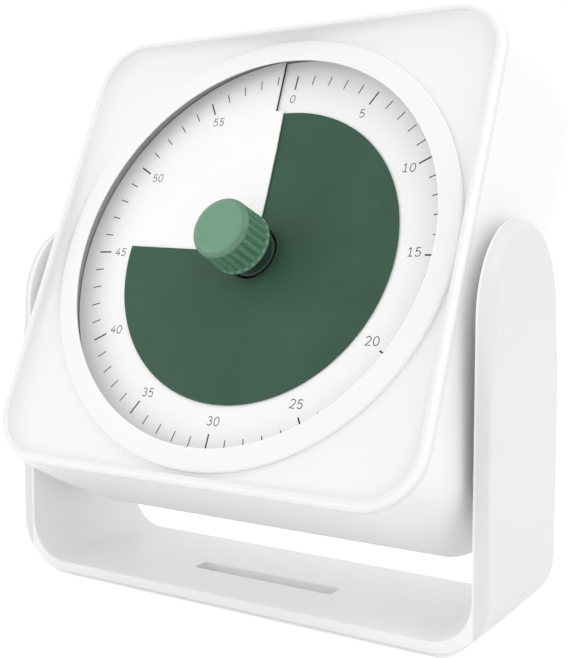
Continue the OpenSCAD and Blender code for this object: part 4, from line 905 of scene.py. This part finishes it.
# %% Rear case: the finger notch
notch_profile = np.array([(0.0, -63.0), (6.0, -63.0), (5.6, -61.6), (4.4, -60.95), (0.0, -60.7)])
notch = turned_lump(notch_profile, 48, (0, -48.4))
work_on(rear, [notch], on_head, "DIFFERENCE")
finish_piece(rear, "head", ["rear_case"], case_white, 32)


def flat_shading(piece, way, limit=0.9999):
    """Turns smooth shading off on faces whose normal times the way is over the limit, so that one plane with many
    holes shades as one plane."""
    normals = np.empty(len(piece.data.polygons) * 3, np.float32)
    piece.data.polygons.foreach_get("normal", normals)
    level = normals.reshape(-1, 3) @ np.array(way, np.float32) > limit
    piece.data.polygons.foreach_set("use_smooth", ~level)
    piece.data.update()
    return int(level.sum())


print("flat faces on the back:", flat_shading(rear, -face_out))

# %% [markdown]
# ## The dial plate and the colour disc
#
# Both are thin sheets with one cut, and both climb by 1.6 mm in one turn, like a single turn of a spiral stair.
# That is why the disc can pass through the cut: over the plate on one side of it, under the plate on the other.
# The surface is a helicoid. A point at radius r and angle a, clockwise from the top, lies 1.6 a / 360 above the
# plate's low side. The disc ends at the cut in a straight edge, so the sheet's ends are strips of quads.
# The plate's cut is near the zero line inside the disc's radius and 6 to 7 mm left of it outside.

# %% Dial plate and colour disc
climb, plate_w = 1.6, -0.8
plate_hole_r, plate_r, disc_r, hub_r = 12.3, 85.5, 61.5, 11.6
inner_cut, jog_in, jog_out = 1.8, 62.1, 62.7
cut_near, cut_rim = 6.0, 6.9
disc_start = 272.4 - 360


def height_at(degrees):
    """Height of the plate's face at an angle, clockwise from the top."""
    return climb * degrees / 360


def stair_sheet(radii, starts, top, thick, steps=361):
    """Closed sheet: across the radii on top, back across them underneath, carried round by one turn from the
    start angle of each radius. The two ends at the cut are its caps."""
    turn = np.linspace(0, 360, steps)[:, None]
    r = np.r_[radii, radii[::-1]][None, :]
    a = np.r_[starts, starts[::-1]][None, :] + turn
    drop = np.r_[np.zeros(len(radii)), np.full(len(radii), thick)][None, :]
    grid = np.stack([r * np.sin(np.radians(a)), r * np.cos(np.radians(a)), top + height_at(a) - drop], -1)
    return grid_solid(grid, strips=True)


def outer_shift(r):
    """How far left of zero the outer cut stands at radius r: from 6.0 mm near the disc to 6.9 mm at the rim."""
    return cut_near + (cut_rim - cut_near) * (r - jog_out) / (plate_r - jog_out)


inner_r, outer_r = np.array([plate_hole_r, 25, 45, jog_in]), np.array([jog_out, 70, 78, plate_r])
plate_radii = np.r_[inner_r, outer_r]
plate_starts = -np.r_[inner_cut * (inner_r - plate_hole_r) / (jog_in - plate_hole_r),
                      np.degrees(np.arcsin(outer_shift(outer_r) / outer_r))]
plate = plain_mesh("dial_sheet", [stair_sheet(plate_radii, plate_starts, plate_w, 0.6)], on_head)
finish_piece(plate, "head", ["dial_plate"], dial_white, 50)

disc_radii = np.array([hub_r, 30, 50, disc_r])
disc = plain_mesh("colour_sheet", [stair_sheet(disc_radii, np.full(4, disc_start), plate_w + 0.65, 0.3)], on_head)
finish_piece(disc, "disc", ["colour_disc"], disc_green, 50)

# %% [markdown]
# ## Marks and numbers
#
# The plate carries sixty thin marks and twelve numbers. The marks are tiny slabs of ink, all from one array:
# mark k stands at 6 k degrees and is longer and wider at each fifth one. The numbers need only the digits 0 to 5.
# Each digit is one or two pen lines in a box, and a line becomes a flat ribbon of ink. Each point is lifted to
# the plate's height at its own angle.

# %% Marks
ink_low, ink_high = -0.05, 0.02
mark_in, main_mark_in, mark_out = 74.6, 72.6, 78.8
mark_half, main_mark_half = 0.21, 0.32


def on_plate(u, v, lift):
    """Points (u, v) on the plate's face, raised by lift. Left of the outer cut the angle counts up to 360."""
    angle, radius = np.degrees(np.arctan2(u, v)) % 360, np.hypot(u, v)
    cut = 360 - np.degrees(np.arcsin(outer_shift(radius) / radius))
    angle = np.where((radius > jog_out) & (angle > cut), angle - 360, angle)
    return np.stack([u, v, plate_w + height_at(angle) + lift], -1)


def minute_marks():
    """Sixty slabs: corners at mark length and width, turned by 6 degrees each, from ink_low to ink_high."""
    k = np.arange(60)
    main = k % 5 == 0
    inner, half = np.where(main, main_mark_in, mark_in), np.where(main, main_mark_half, mark_half)
    r = np.stack([inner, inner, 0 * inner + mark_out, 0 * inner + mark_out], -1)
    s = np.stack([-half, half, half, -half], -1)
    a = np.radians(6 * k)[:, None]
    u, v = r * np.sin(a) + s * np.cos(a), r * np.cos(a) - s * np.sin(a)
    points = np.concatenate([on_plate(u, v, ink_low), on_plate(u, v, ink_high)], 1).reshape(-1, 3)
    box = np.array([(3, 2, 1, 0), (4, 5, 6, 7), (0, 1, 5, 4), (1, 2, 6, 5), (2, 3, 7, 6), (3, 0, 4, 7)])
    faces = (8 * k[:, None, None] + box[None]).reshape(-1, 4)
    return outward(points, faces, [])


marks = plain_mesh("dial_marks", [minute_marks()], on_head)
finish_piece(marks, "head", [], ink, 30)

# %% Numbers
def arc(middle, radii, first, last, steps=14):
    """Points on an ellipse from one angle to another, in degrees from the right, anticlockwise."""
    a = np.radians(np.linspace(first, last, steps))
    return np.column_stack([middle[0] + radii[0] * np.cos(a), middle[1] + radii[1] * np.sin(a)])


pen_lines = {
    "0": [arc((0.5, 0.5), (0.44, 0.5), 0, 360, 33)],
    "1": [np.array([(0.22, 0.80), (0.56, 1.0), (0.56, 0.5), (0.56, 0.03)]),
          np.array([(0.20, 0.0), (0.55, 0.0), (0.90, 0.0)])],
    "2": [np.concatenate([arc((0.50, 0.70), (0.38, 0.30), 165, -35), [(0.50, 0.28), (0.10, 0.0), (0.92, 0.0)]])],
    "3": [np.concatenate([arc((0.47, 0.76), (0.36, 0.24), 150, -80), arc((0.47, 0.27), (0.41, 0.27), 80, -155)])],
    "4": [np.array([(0.92, 0.30), (0.50, 0.30), (0.05, 0.30), (0.66, 1.0)]),
          np.array([(0.70, 0.62), (0.70, 0.31), (0.70, 0.0)])],
    "5": [np.concatenate([[(0.86, 1.0), (0.22, 1.0), (0.16, 0.56)], arc((0.46, 0.32), (0.41, 0.32), 118, -150)])],
}
digit_wide, digit_high, digit_step = 2.45, 3.3, 3.1
number_r, pair_shift, low_lift = 68.3, 0.55, 1.3


def ribbon(line, half_wide=0.17):
    """Flat strip of ink: at each point of the line, half_wide to both sides of the mean of its two directions,
    and from ink_low to ink_high over the plate's face."""
    ring = np.allclose(line[0], line[-1])
    if ring:
        line = line[:-1]
    ahead, back = np.roll(line, -1, 0) - line, line - np.roll(line, 1, 0)
    if not ring:
        ahead[-1], back[0] = back[-1], ahead[0]
    ahead, back = (way / np.linalg.norm(way, axis=1, keepdims=True) for way in (ahead, back))
    mean = ahead + back
    mean /= np.linalg.norm(mean, axis=1, keepdims=True)
    reach = half_wide / np.maximum((mean * ahead).sum(1, keepdims=True), 0.45)
    side = np.column_stack([-mean[:, 1], mean[:, 0]]) * reach
    left, right = line + side, line - side
    loop = ((left, ink_low), (left, ink_high), (right, ink_high), (right, ink_low))
    return grid_solid(np.stack([on_plate(*edge.T, lift) for edge, lift in loop], 1), ring=ring)


def number_ribbons(minutes):
    """Ribbons of one number, centred at number_r on the line of its mark. Two digits stand up to twice pair_shift
    nearer to the middle on the left, and numbers low on the right stand up to low_lift higher, clear of the
    bezel."""
    digits = str(minutes)
    a = math.radians(6 * minutes)
    aside = pair_shift * (1 - math.sin(a)) if len(digits) == 2 else 0.0
    lift = low_lift * max(0.0, math.sin(a - math.radians(30)))
    middle = np.array([number_r * math.sin(a) + aside, number_r * math.cos(a) + lift])
    wide = digit_step * (len(digits) - 1) + digit_wide
    start = middle - [wide / 2, digit_high / 2]
    return [ribbon(start + [digit_step * k, 0] + line * [digit_wide, digit_high])
            for k, digit in enumerate(digits) for line in pen_lines[digit]]


numbers = plain_mesh("dial_numbers", [part for minutes in range(0, 60, 5) for part in number_ribbons(minutes)],
                     on_head)
finish_piece(numbers, "head", [], ink, 30)

# %% [markdown]
# ## Knob, collar and hub
#
# The knob is turned, but not quite round: it widens a little towards its foot, as a moulded piece must to leave
# its mould, and flutes run down its side from the round shoulder to a plain foot. Its radius is a function of angle
# and height: the turned profile, less a groove whose depth falls to nothing where the groove ends. Under it sits a
# dark collar in the hole of the disc.

# %% Turning knob
knob_r, knob_low_r, knob_top, knob_foot = 12.25, 12.85, 25.3, 9.1
rim_wide, rim_high, rim_lean = 2.7, 2.6, 26
flutes, flute_deep, flute_half = 24, 0.9, 1.15
flute_end, flute_run, foot_ring = 20.4, 2.6, 0.9
bore_r, bore_end = 2.02, 21.1


def knob_solid():
    """Radius = profile(w) - depth * (1 - x^2 - y^2), with x the share across a flute and y the share past its
    rounded end. Rows run from the middle of the face over the rim down to the foot and into the bore."""
    lean, a = np.radians(rim_lean), np.radians(np.linspace(rim_lean, 90, 19))
    rim = np.column_stack([knob_r - rim_wide * (1 - np.sin(a)) / (1 - np.sin(lean)),
                           knob_top - rim_high * (np.cos(lean) - np.cos(a)) / np.cos(lean)])
    heights = np.r_[np.linspace(22.4, 20.6, 6), np.linspace(19.8, 12.4, 8), np.linspace(11.6, knob_foot + 0.35, 14)]
    widening = (rim[-1, 1] - heights) / (rim[-1, 1] - knob_foot)
    down = np.column_stack([knob_r + (knob_low_r - knob_r) * widening, heights])
    foot = np.array([(knob_low_r - 0.1, knob_foot + 0.2), (knob_low_r - 0.35, knob_foot), (bore_r, knob_foot),
                     (bore_r, bore_end), (0, bore_end)])
    face = np.array([(0, knob_top), (5, knob_top), (9.25, knob_top)])
    rows = np.concatenate([face, rim, down, foot])
    angle = np.linspace(0, 2 * np.pi, flutes * 18, endpoint=False)[None, :]
    r, w = rows[:, :1], rows[:, 1:]
    pitch = 2 * np.pi / flutes
    x = ((angle + pitch / 2) % pitch - pitch / 2) * knob_r / flute_half
    y = np.maximum(np.maximum((w - flute_end) / flute_run, (knob_foot + foot_ring + flute_half - w) / flute_half), 0)
    groove_depth = flute_deep * np.clip(1 - x ** 2 - y ** 2, 0, 1)
    r = r - np.where(r > knob_r - rim_wide, groove_depth, 0)
    grid = np.stack([r * np.sin(angle), r * np.cos(angle), w + 0 * angle], -1)
    return grid_solid(grid)


knob = plain_mesh("turning_knob_fluted", [knob_solid()], on_head)
finish_piece(knob, "knob", ["turning_knob"], knob_green, 60)

# %% Collar and hub
collar_r, collar_foot, collar_top, neck_r, hub_in, sleeve = 9.9, -3.2, 1.5, 5.0, 10.25, 0.45
key_in, key_half, slot_half = 8.9, 1.2, 1.5
collar_profile = rounded([(bore_r, collar_foot, 0), (collar_r, collar_foot, 0.2), (collar_r, collar_top, 0.4),
                          (neck_r, collar_top, 0.5), (neck_r, knob_foot, 0), (bore_r, knob_foot, 0)], 4)
keys = [brick((key_in, -key_half, -3.1), (10.7, key_half, -0.5)),
        brick((-10.7, -key_half, -3.1), (-key_in, key_half, -0.5))]
drive = plain_mesh("drive_collar_turned", [turned(collar_profile, 128)], on_head)
work_on(drive, keys, on_head, "UNION")
finish_piece(drive, "knob", ["drive_collar"], collar_green)

hub_profile = rounded([(hub_in, -2.3, 0), (hub_r, -2.3, 0.1), (hub_r, 1.15, 0.12), (hub_r - sleeve, 1.15, 0.12),
                       (hub_r - sleeve, -1.3, 0), (hub_in, -1.3, 0.1)], 3)
hub = plain_mesh("disc_hub_turned", [turned(hub_profile, 128)], on_head)
slots = [brick((key_in, -slot_half, -4), (11.0, slot_half, 3)),
         brick((-11.0, -slot_half, -4), (-key_in, slot_half, 3))]
work_on(hub, slots, on_head, "DIFFERENCE")
finish_piece(hub, "disc", ["disc_hub"], hub_green)

# %% [markdown]
# ## Pivot hardware
#
# On each side a brass bush sits in the case's round pad, and a dark friction washer fills the gap to the arm.
# Only the washer's rim shows, but it is what makes the head stay where it is put. They are turned pieces too,
# drawn along w and then laid across, so that their axis is the pivot's.

# %% Bushes and washers
bush_profile = rounded([(6.05, 87, 0.2), (10.05, 87, 0.2), (10.05, 88.5, 0.1), (8.05, 88.5, 0.1), (8.05, 97.5, 0.3),
                        (6.05, 97.5, 0.3)], 3)
bushes = plain_mesh("pivot_bushes_turned", [across(turned(bush_profile, 96), s, pivot_v, pivot_w) for s in (-1, 1)],
                    on_head)
finish_piece(bushes, "head", ["pivot_bushes"], bush_brass)

washer_profile = tube_profile(6.05, 9.55, 97.6, 100.5, 0.35)
washers = plain_mesh("friction_washers_turned",
                     [across(turned(washer_profile, 96), s, pivot_v, pivot_w) for s in (-1, 1)], on_head)
finish_piece(washers, "stand", ["friction_washers"], washer_grey)

# %% [markdown]
# ## Case screws
#
# Four long screws hold the case from behind. Their heads sit deep in the tubes and are domed, with a
# cross recess. The cross is taken out of the turned head with two tapered bars.

# %% Case screws
head_r, head_edge, head_dome, shank_r = 3.2, -15.6, 1.2, 1.5


def case_screw(at):
    """Domed head and shank: the head's edge is a quarter ellipse."""
    a = np.radians(np.linspace(0, 90, 9))
    head = np.column_stack([head_r * np.sin(a), head_edge - head_dome * np.cos(a)])
    rest = np.array([(head_r, -14.0), (shank_r, -14.0), (shank_r, 1.2), (0.9, 2.0), (0, 2.0)])
    return turned_lump(np.concatenate([head, rest]), 48, at)


def cross_bars(at):
    """Two bars across a head that narrow towards their bottom."""
    bars = []
    for wide, high in ((3.6, 0.8), (0.8, 3.6)):
        outline = round_rect(wide / 2, high / 2, 0.15, 2)
        rows = [(outline * 1.15, -17.6), (outline, -16.2), (outline * 0.6, -15.2)]
        grid = np.stack([np.column_stack([row + at, np.full(len(row), w)]) for row, w in rows])
        bars.append(grid_solid(grid))
    return bars


screws = plain_mesh("case_screws_turned", [case_screw(at) for at in corners], on_head)
work_on(screws, [bar for at in corners for bar in cross_bars(at)], on_head, "DIFFERENCE")
finish_piece(screws, "head", ["case_screws"], screw_steel)

# %% [markdown]
# ## Battery door and sound switch
#
# The door is a flat panel with round corners, hinged along its lower edge, with three shallow ridges where the
# finger pulls. The switch is a small thumb piece with ribs on a slider plate behind its slot.

# %% Battery door
door_out, door_thick = -case_deep, 2.0
door_outline = round_rect(31, 12.8, 1.4) + [0, -61.2]
hinge_v, hinge_w = -74.0, -60.75


def soft_plate(outline, w_out, w_in, soft=0.3):
    """Plate whose outer rim is rounded: rows of the outline, drawn in by soft * (1 - sin) while w goes in by
    soft * (1 - cos)."""
    middle = outline.mean(0)
    away = (outline - middle) / np.abs(outline - middle).max(0)
    rows = [(outline - away * soft * (1 - np.sin(a)), w_out + soft * (1 - np.cos(a)))
            for a in np.radians(np.linspace(0, 90, 5))] + [(outline, w_in)]
    return grid_solid(np.stack([np.column_stack([row, np.full(len(row), w)]) for row, w in rows]))


def hinge_rod(r, half, bevel, columns):
    """Rod on the hinge's axis with bevelled ends: bevel in across, 0.2 mm along."""
    end = np.array([(r, half - 0.2), (r - bevel, half), (0, half)])
    return across(turned_lump(np.concatenate([end[::-1] * [1, -1], end]), columns), 1, hinge_v, hinge_w)


door = plain_mesh("battery_door_panel", [soft_plate(door_outline, door_out, door_out + door_thick)], on_head)
knuckle, pin = hinge_rod(1.25, 31, 0.15, 40), hinge_rod(0.8, 33, 0.2, 32)
work_on(door, [knuckle, pin], on_head, "UNION")
pull_lines = [prism(round_rect(6, 0.4, 0.38, 4) + [0, -51.4 - 2 * k], -63, -61.5) for k in range(3)]
work_on(door, pull_lines, on_head, "DIFFERENCE")
finish_piece(door, "battery door", ["battery_door"], case_white)

# %% Sound switch
thumb_half, thumb_rise, rib_high, rib_step = 3.0, 1.15, 0.25, 1.2
thumb_middle, thumb_foot = (20, 40, 0), -58.8


def ribbed_thumb():
    """Thumb block whose face is a wave of ribs across the slide: height = rise + rib_high * cos(2 pi u / step)."""
    u = np.linspace(-thumb_half, thumb_half, 61)
    wave = -case_deep - thumb_rise - rib_high * np.cos(2 * np.pi * u / rib_step)
    edge = np.minimum(1, (thumb_half - np.abs(u)) / 0.4)
    face = wave * edge + (-case_deep - 0.6) * (1 - edge)
    v = np.array([-2.0, -1.7, 1.7, 2.0])
    dip = np.array([0.35, 0.0, 0.0, 0.35])
    top = np.stack([u[:, None] + 0 * v, v + 0 * u[:, None], face[:, None] + dip], -1)
    under = np.stack([u[:, None] + 0 * v, v + 0 * u[:, None], thumb_foot + 0 * u[:, None] + 0 * v], -1)[:, ::-1]
    return grid_solid(np.concatenate([top, under], 1) + thumb_middle)


thumb = plain_mesh("sound_switch_thumb", [ribbed_thumb()], on_head)
slider = brick((12.3, 36.75, thumb_foot), (27.7, 43.25, thumb_foot + 1))
work_on(thumb, [slider], on_head, "UNION")
finish_piece(thumb, "sound switch", ["sound_switch"], switch_grey, 30)

# %% [markdown]
# ## Finishes for the pieces inside
#
# The other solids have their final shape already. Each gets its finish, by name.

# %% Finishes by name
inside_finishes = {
    "base_pad": pad_rubber, "pivot_screws": screw_steel, "spring_washers": screw_steel,
    "dial_chassis": chassis_grey, "chassis_screws": screw_steel, "spindle_bush": bush_brass,
    "movement_front": movement_grey, "movement_back": movement_grey, "movement_screws": screw_steel,
    "wheel_arbors": screw_steel, "stator": core_iron, "drive_coil": coil_copper, "coil_leads": lead_red,
    "circuit_board": board_green, "control_chip": chip_black, "board_screws": screw_steel, "buzzer": chip_black,
    "switch_body": switch_grey, "contact_plate": screw_steel, "contact_spring": screw_steel,
    "battery_cell": cell_jacket, "battery_leads": lead_red, "spindle": screw_steel, "spindle_clips": core_iron,
    "centre_wheel": bush_brass, "clutch_spring": screw_steel, "third_wheel": bush_brass,
    "fourth_wheel": bush_brass, "rotor": magnet_grey,
}
for name, finish in inside_finishes.items():
    nodes[name].data.materials.clear()
    nodes[name].data.materials.append(finish)
print("finishes given:", len(inside_finishes))

# %% [markdown]
# ## Table, light and camera
#
# The object stands on a plain white table in front of white, as in a light tent. Nearly all the light comes from
# a white dome, so the shades come from the places that the dome doesn't reach: the recess of the dial, the
# dish under the lip, where painted shade is added, and the inside of the stand. Painted shade also darkens the arms.
# A low lamp on the left brightens the base of the stand and the underside of the head, and one from the high right
# picks out the shoulder of the knob, whose flutes and shoulder also carry painted shade.

# %% Table and surroundings
def table_white():
    """A pale surface that adds a little light of its own where the camera or a reflection looks at it."""
    work = Finish("table_white")
    seen = work.node("LightPath", out="Is Camera Ray") + work.node("LightPath", out="Is Glossy Ray")
    seen = work.span(seen + work.node("LightPath", out="Is Transmission Ray"), 0, 1)
    pale = work.node("BsdfDiffuse", None, {"Color": (0.86, 0.86, 0.86, 1)})
    glow = work.node("Emission", None, {"Color": (1, 1, 1, 1), "Strength": seen * 0.5})
    both = work.node("AddShader", None, {0: pale, 1: glow})
    work.node("OutputMaterial", None, {"Surface": both})
    return work.material


wide = 6.0
table_mesh = bpy.data.meshes.new("table")
table_mesh.from_pydata([(-wide, -wide, 0), (wide, -wide, 0), (wide, wide, 0), (-wide, wide, 0)], [], [(0, 1, 2, 3)])
table = bpy.data.objects.new("table", table_mesh)
bpy.context.scene.collection.objects.link(table)
table.data.materials.append(table_white())


class Surroundings(Finish):
    """The same writer for the nodes of a world."""

    def __init__(self, name):
        self.world = bpy.data.worlds.new(name)
        self.world.use_nodes = True
        self.tree = self.world.node_tree
        self.tree.nodes.clear()


def white_tent(dome_strength, white_strength):
    """White all round: dome_strength for the light that falls on things, white_strength where it is looked at."""
    work = Surroundings("surroundings")
    camera_ray, glossy_ray, through_ray = (work.node("LightPath", out=f"Is {kind} Ray")
                                           for kind in ("Camera", "Glossy", "Transmission"))
    seen = work.node("Math", {"operation": "MAXIMUM"}, {0: camera_ray, 1: glossy_ray})
    seen = work.node("Math", {"operation": "MAXIMUM"}, {0: seen, 1: through_ray})
    strength = work.node("MapRange", None, {"Value": seen, "To Min": dome_strength, "To Max": white_strength})
    back = work.node("Background", None, {"Color": (1, 1, 1, 1), "Strength": strength})
    work.node("OutputWorld", None, {"Surface": back})
    return work.world


bpy.context.scene.world = white_tent(0.98, 1.0)
print("surroundings ready")

# %% Lamps
def soft_lamp(name, place, aim, size, watts):
    """Square lamp of a size in metres that looks from its place at a point."""
    lamp = bpy.data.lights.new(name, "AREA")
    lamp.shape, lamp.size, lamp.energy = "SQUARE", size, watts
    item = bpy.data.objects.new(name, lamp)
    away = np.array(place, float) - np.array(aim, float)
    item.matrix_world = look_matrix(place, away)
    item.visible_camera = False
    bpy.context.scene.collection.objects.link(item)
    return item


def look_matrix(place, away):
    """Matrix of something that looks along -away, with its own up as near to z as can be."""
    away = np.array(away, float) / np.linalg.norm(away)
    right = np.cross((0, 0, 1), away)
    right /= np.linalg.norm(right)
    up = np.cross(away, right)
    return Matrix([[*row, p] for row, p in zip(np.column_stack([right, up, away]), place)] + [[0, 0, 0, 1]])


soft_lamp("lamp_low_left", (-0.8, -1.0, 0.12), (0, 0, 0.12), 1.0, 3.0)
soft_lamp("lamp_high_right", (1.1, -0.2, 1.3), (0, 0, 0.12), 1.0, 4.2)
print("two soft lamps")

# %% [markdown]
# ## Camera
#
# The view is from the right and slightly above, with a mild telephoto lens. Azimuth and elevation give the
# direction, and the camera is placed so that the object fills an upright frame.

# %% Camera
azimuth, elevation = math.radians(32.7), math.radians(4.66)
camera_place = (0.2342, -0.3551, 0.1403)
backwards = (math.sin(azimuth) * math.cos(elevation), -math.cos(azimuth) * math.cos(elevation), math.sin(elevation))
lens = bpy.data.cameras.new("view")
lens.lens, lens.sensor_fit, lens.sensor_width = 58.4, "AUTO", 36
camera = bpy.data.objects.new("view", lens)
camera.matrix_world = look_matrix(camera_place, backwards)
bpy.context.scene.collection.objects.link(camera)
bpy.context.scene.camera = camera
bpy.context.scene.view_settings.view_transform = "Standard"
print("camera at", camera_place)

# %% The end
bpy.context.view_layer.update()
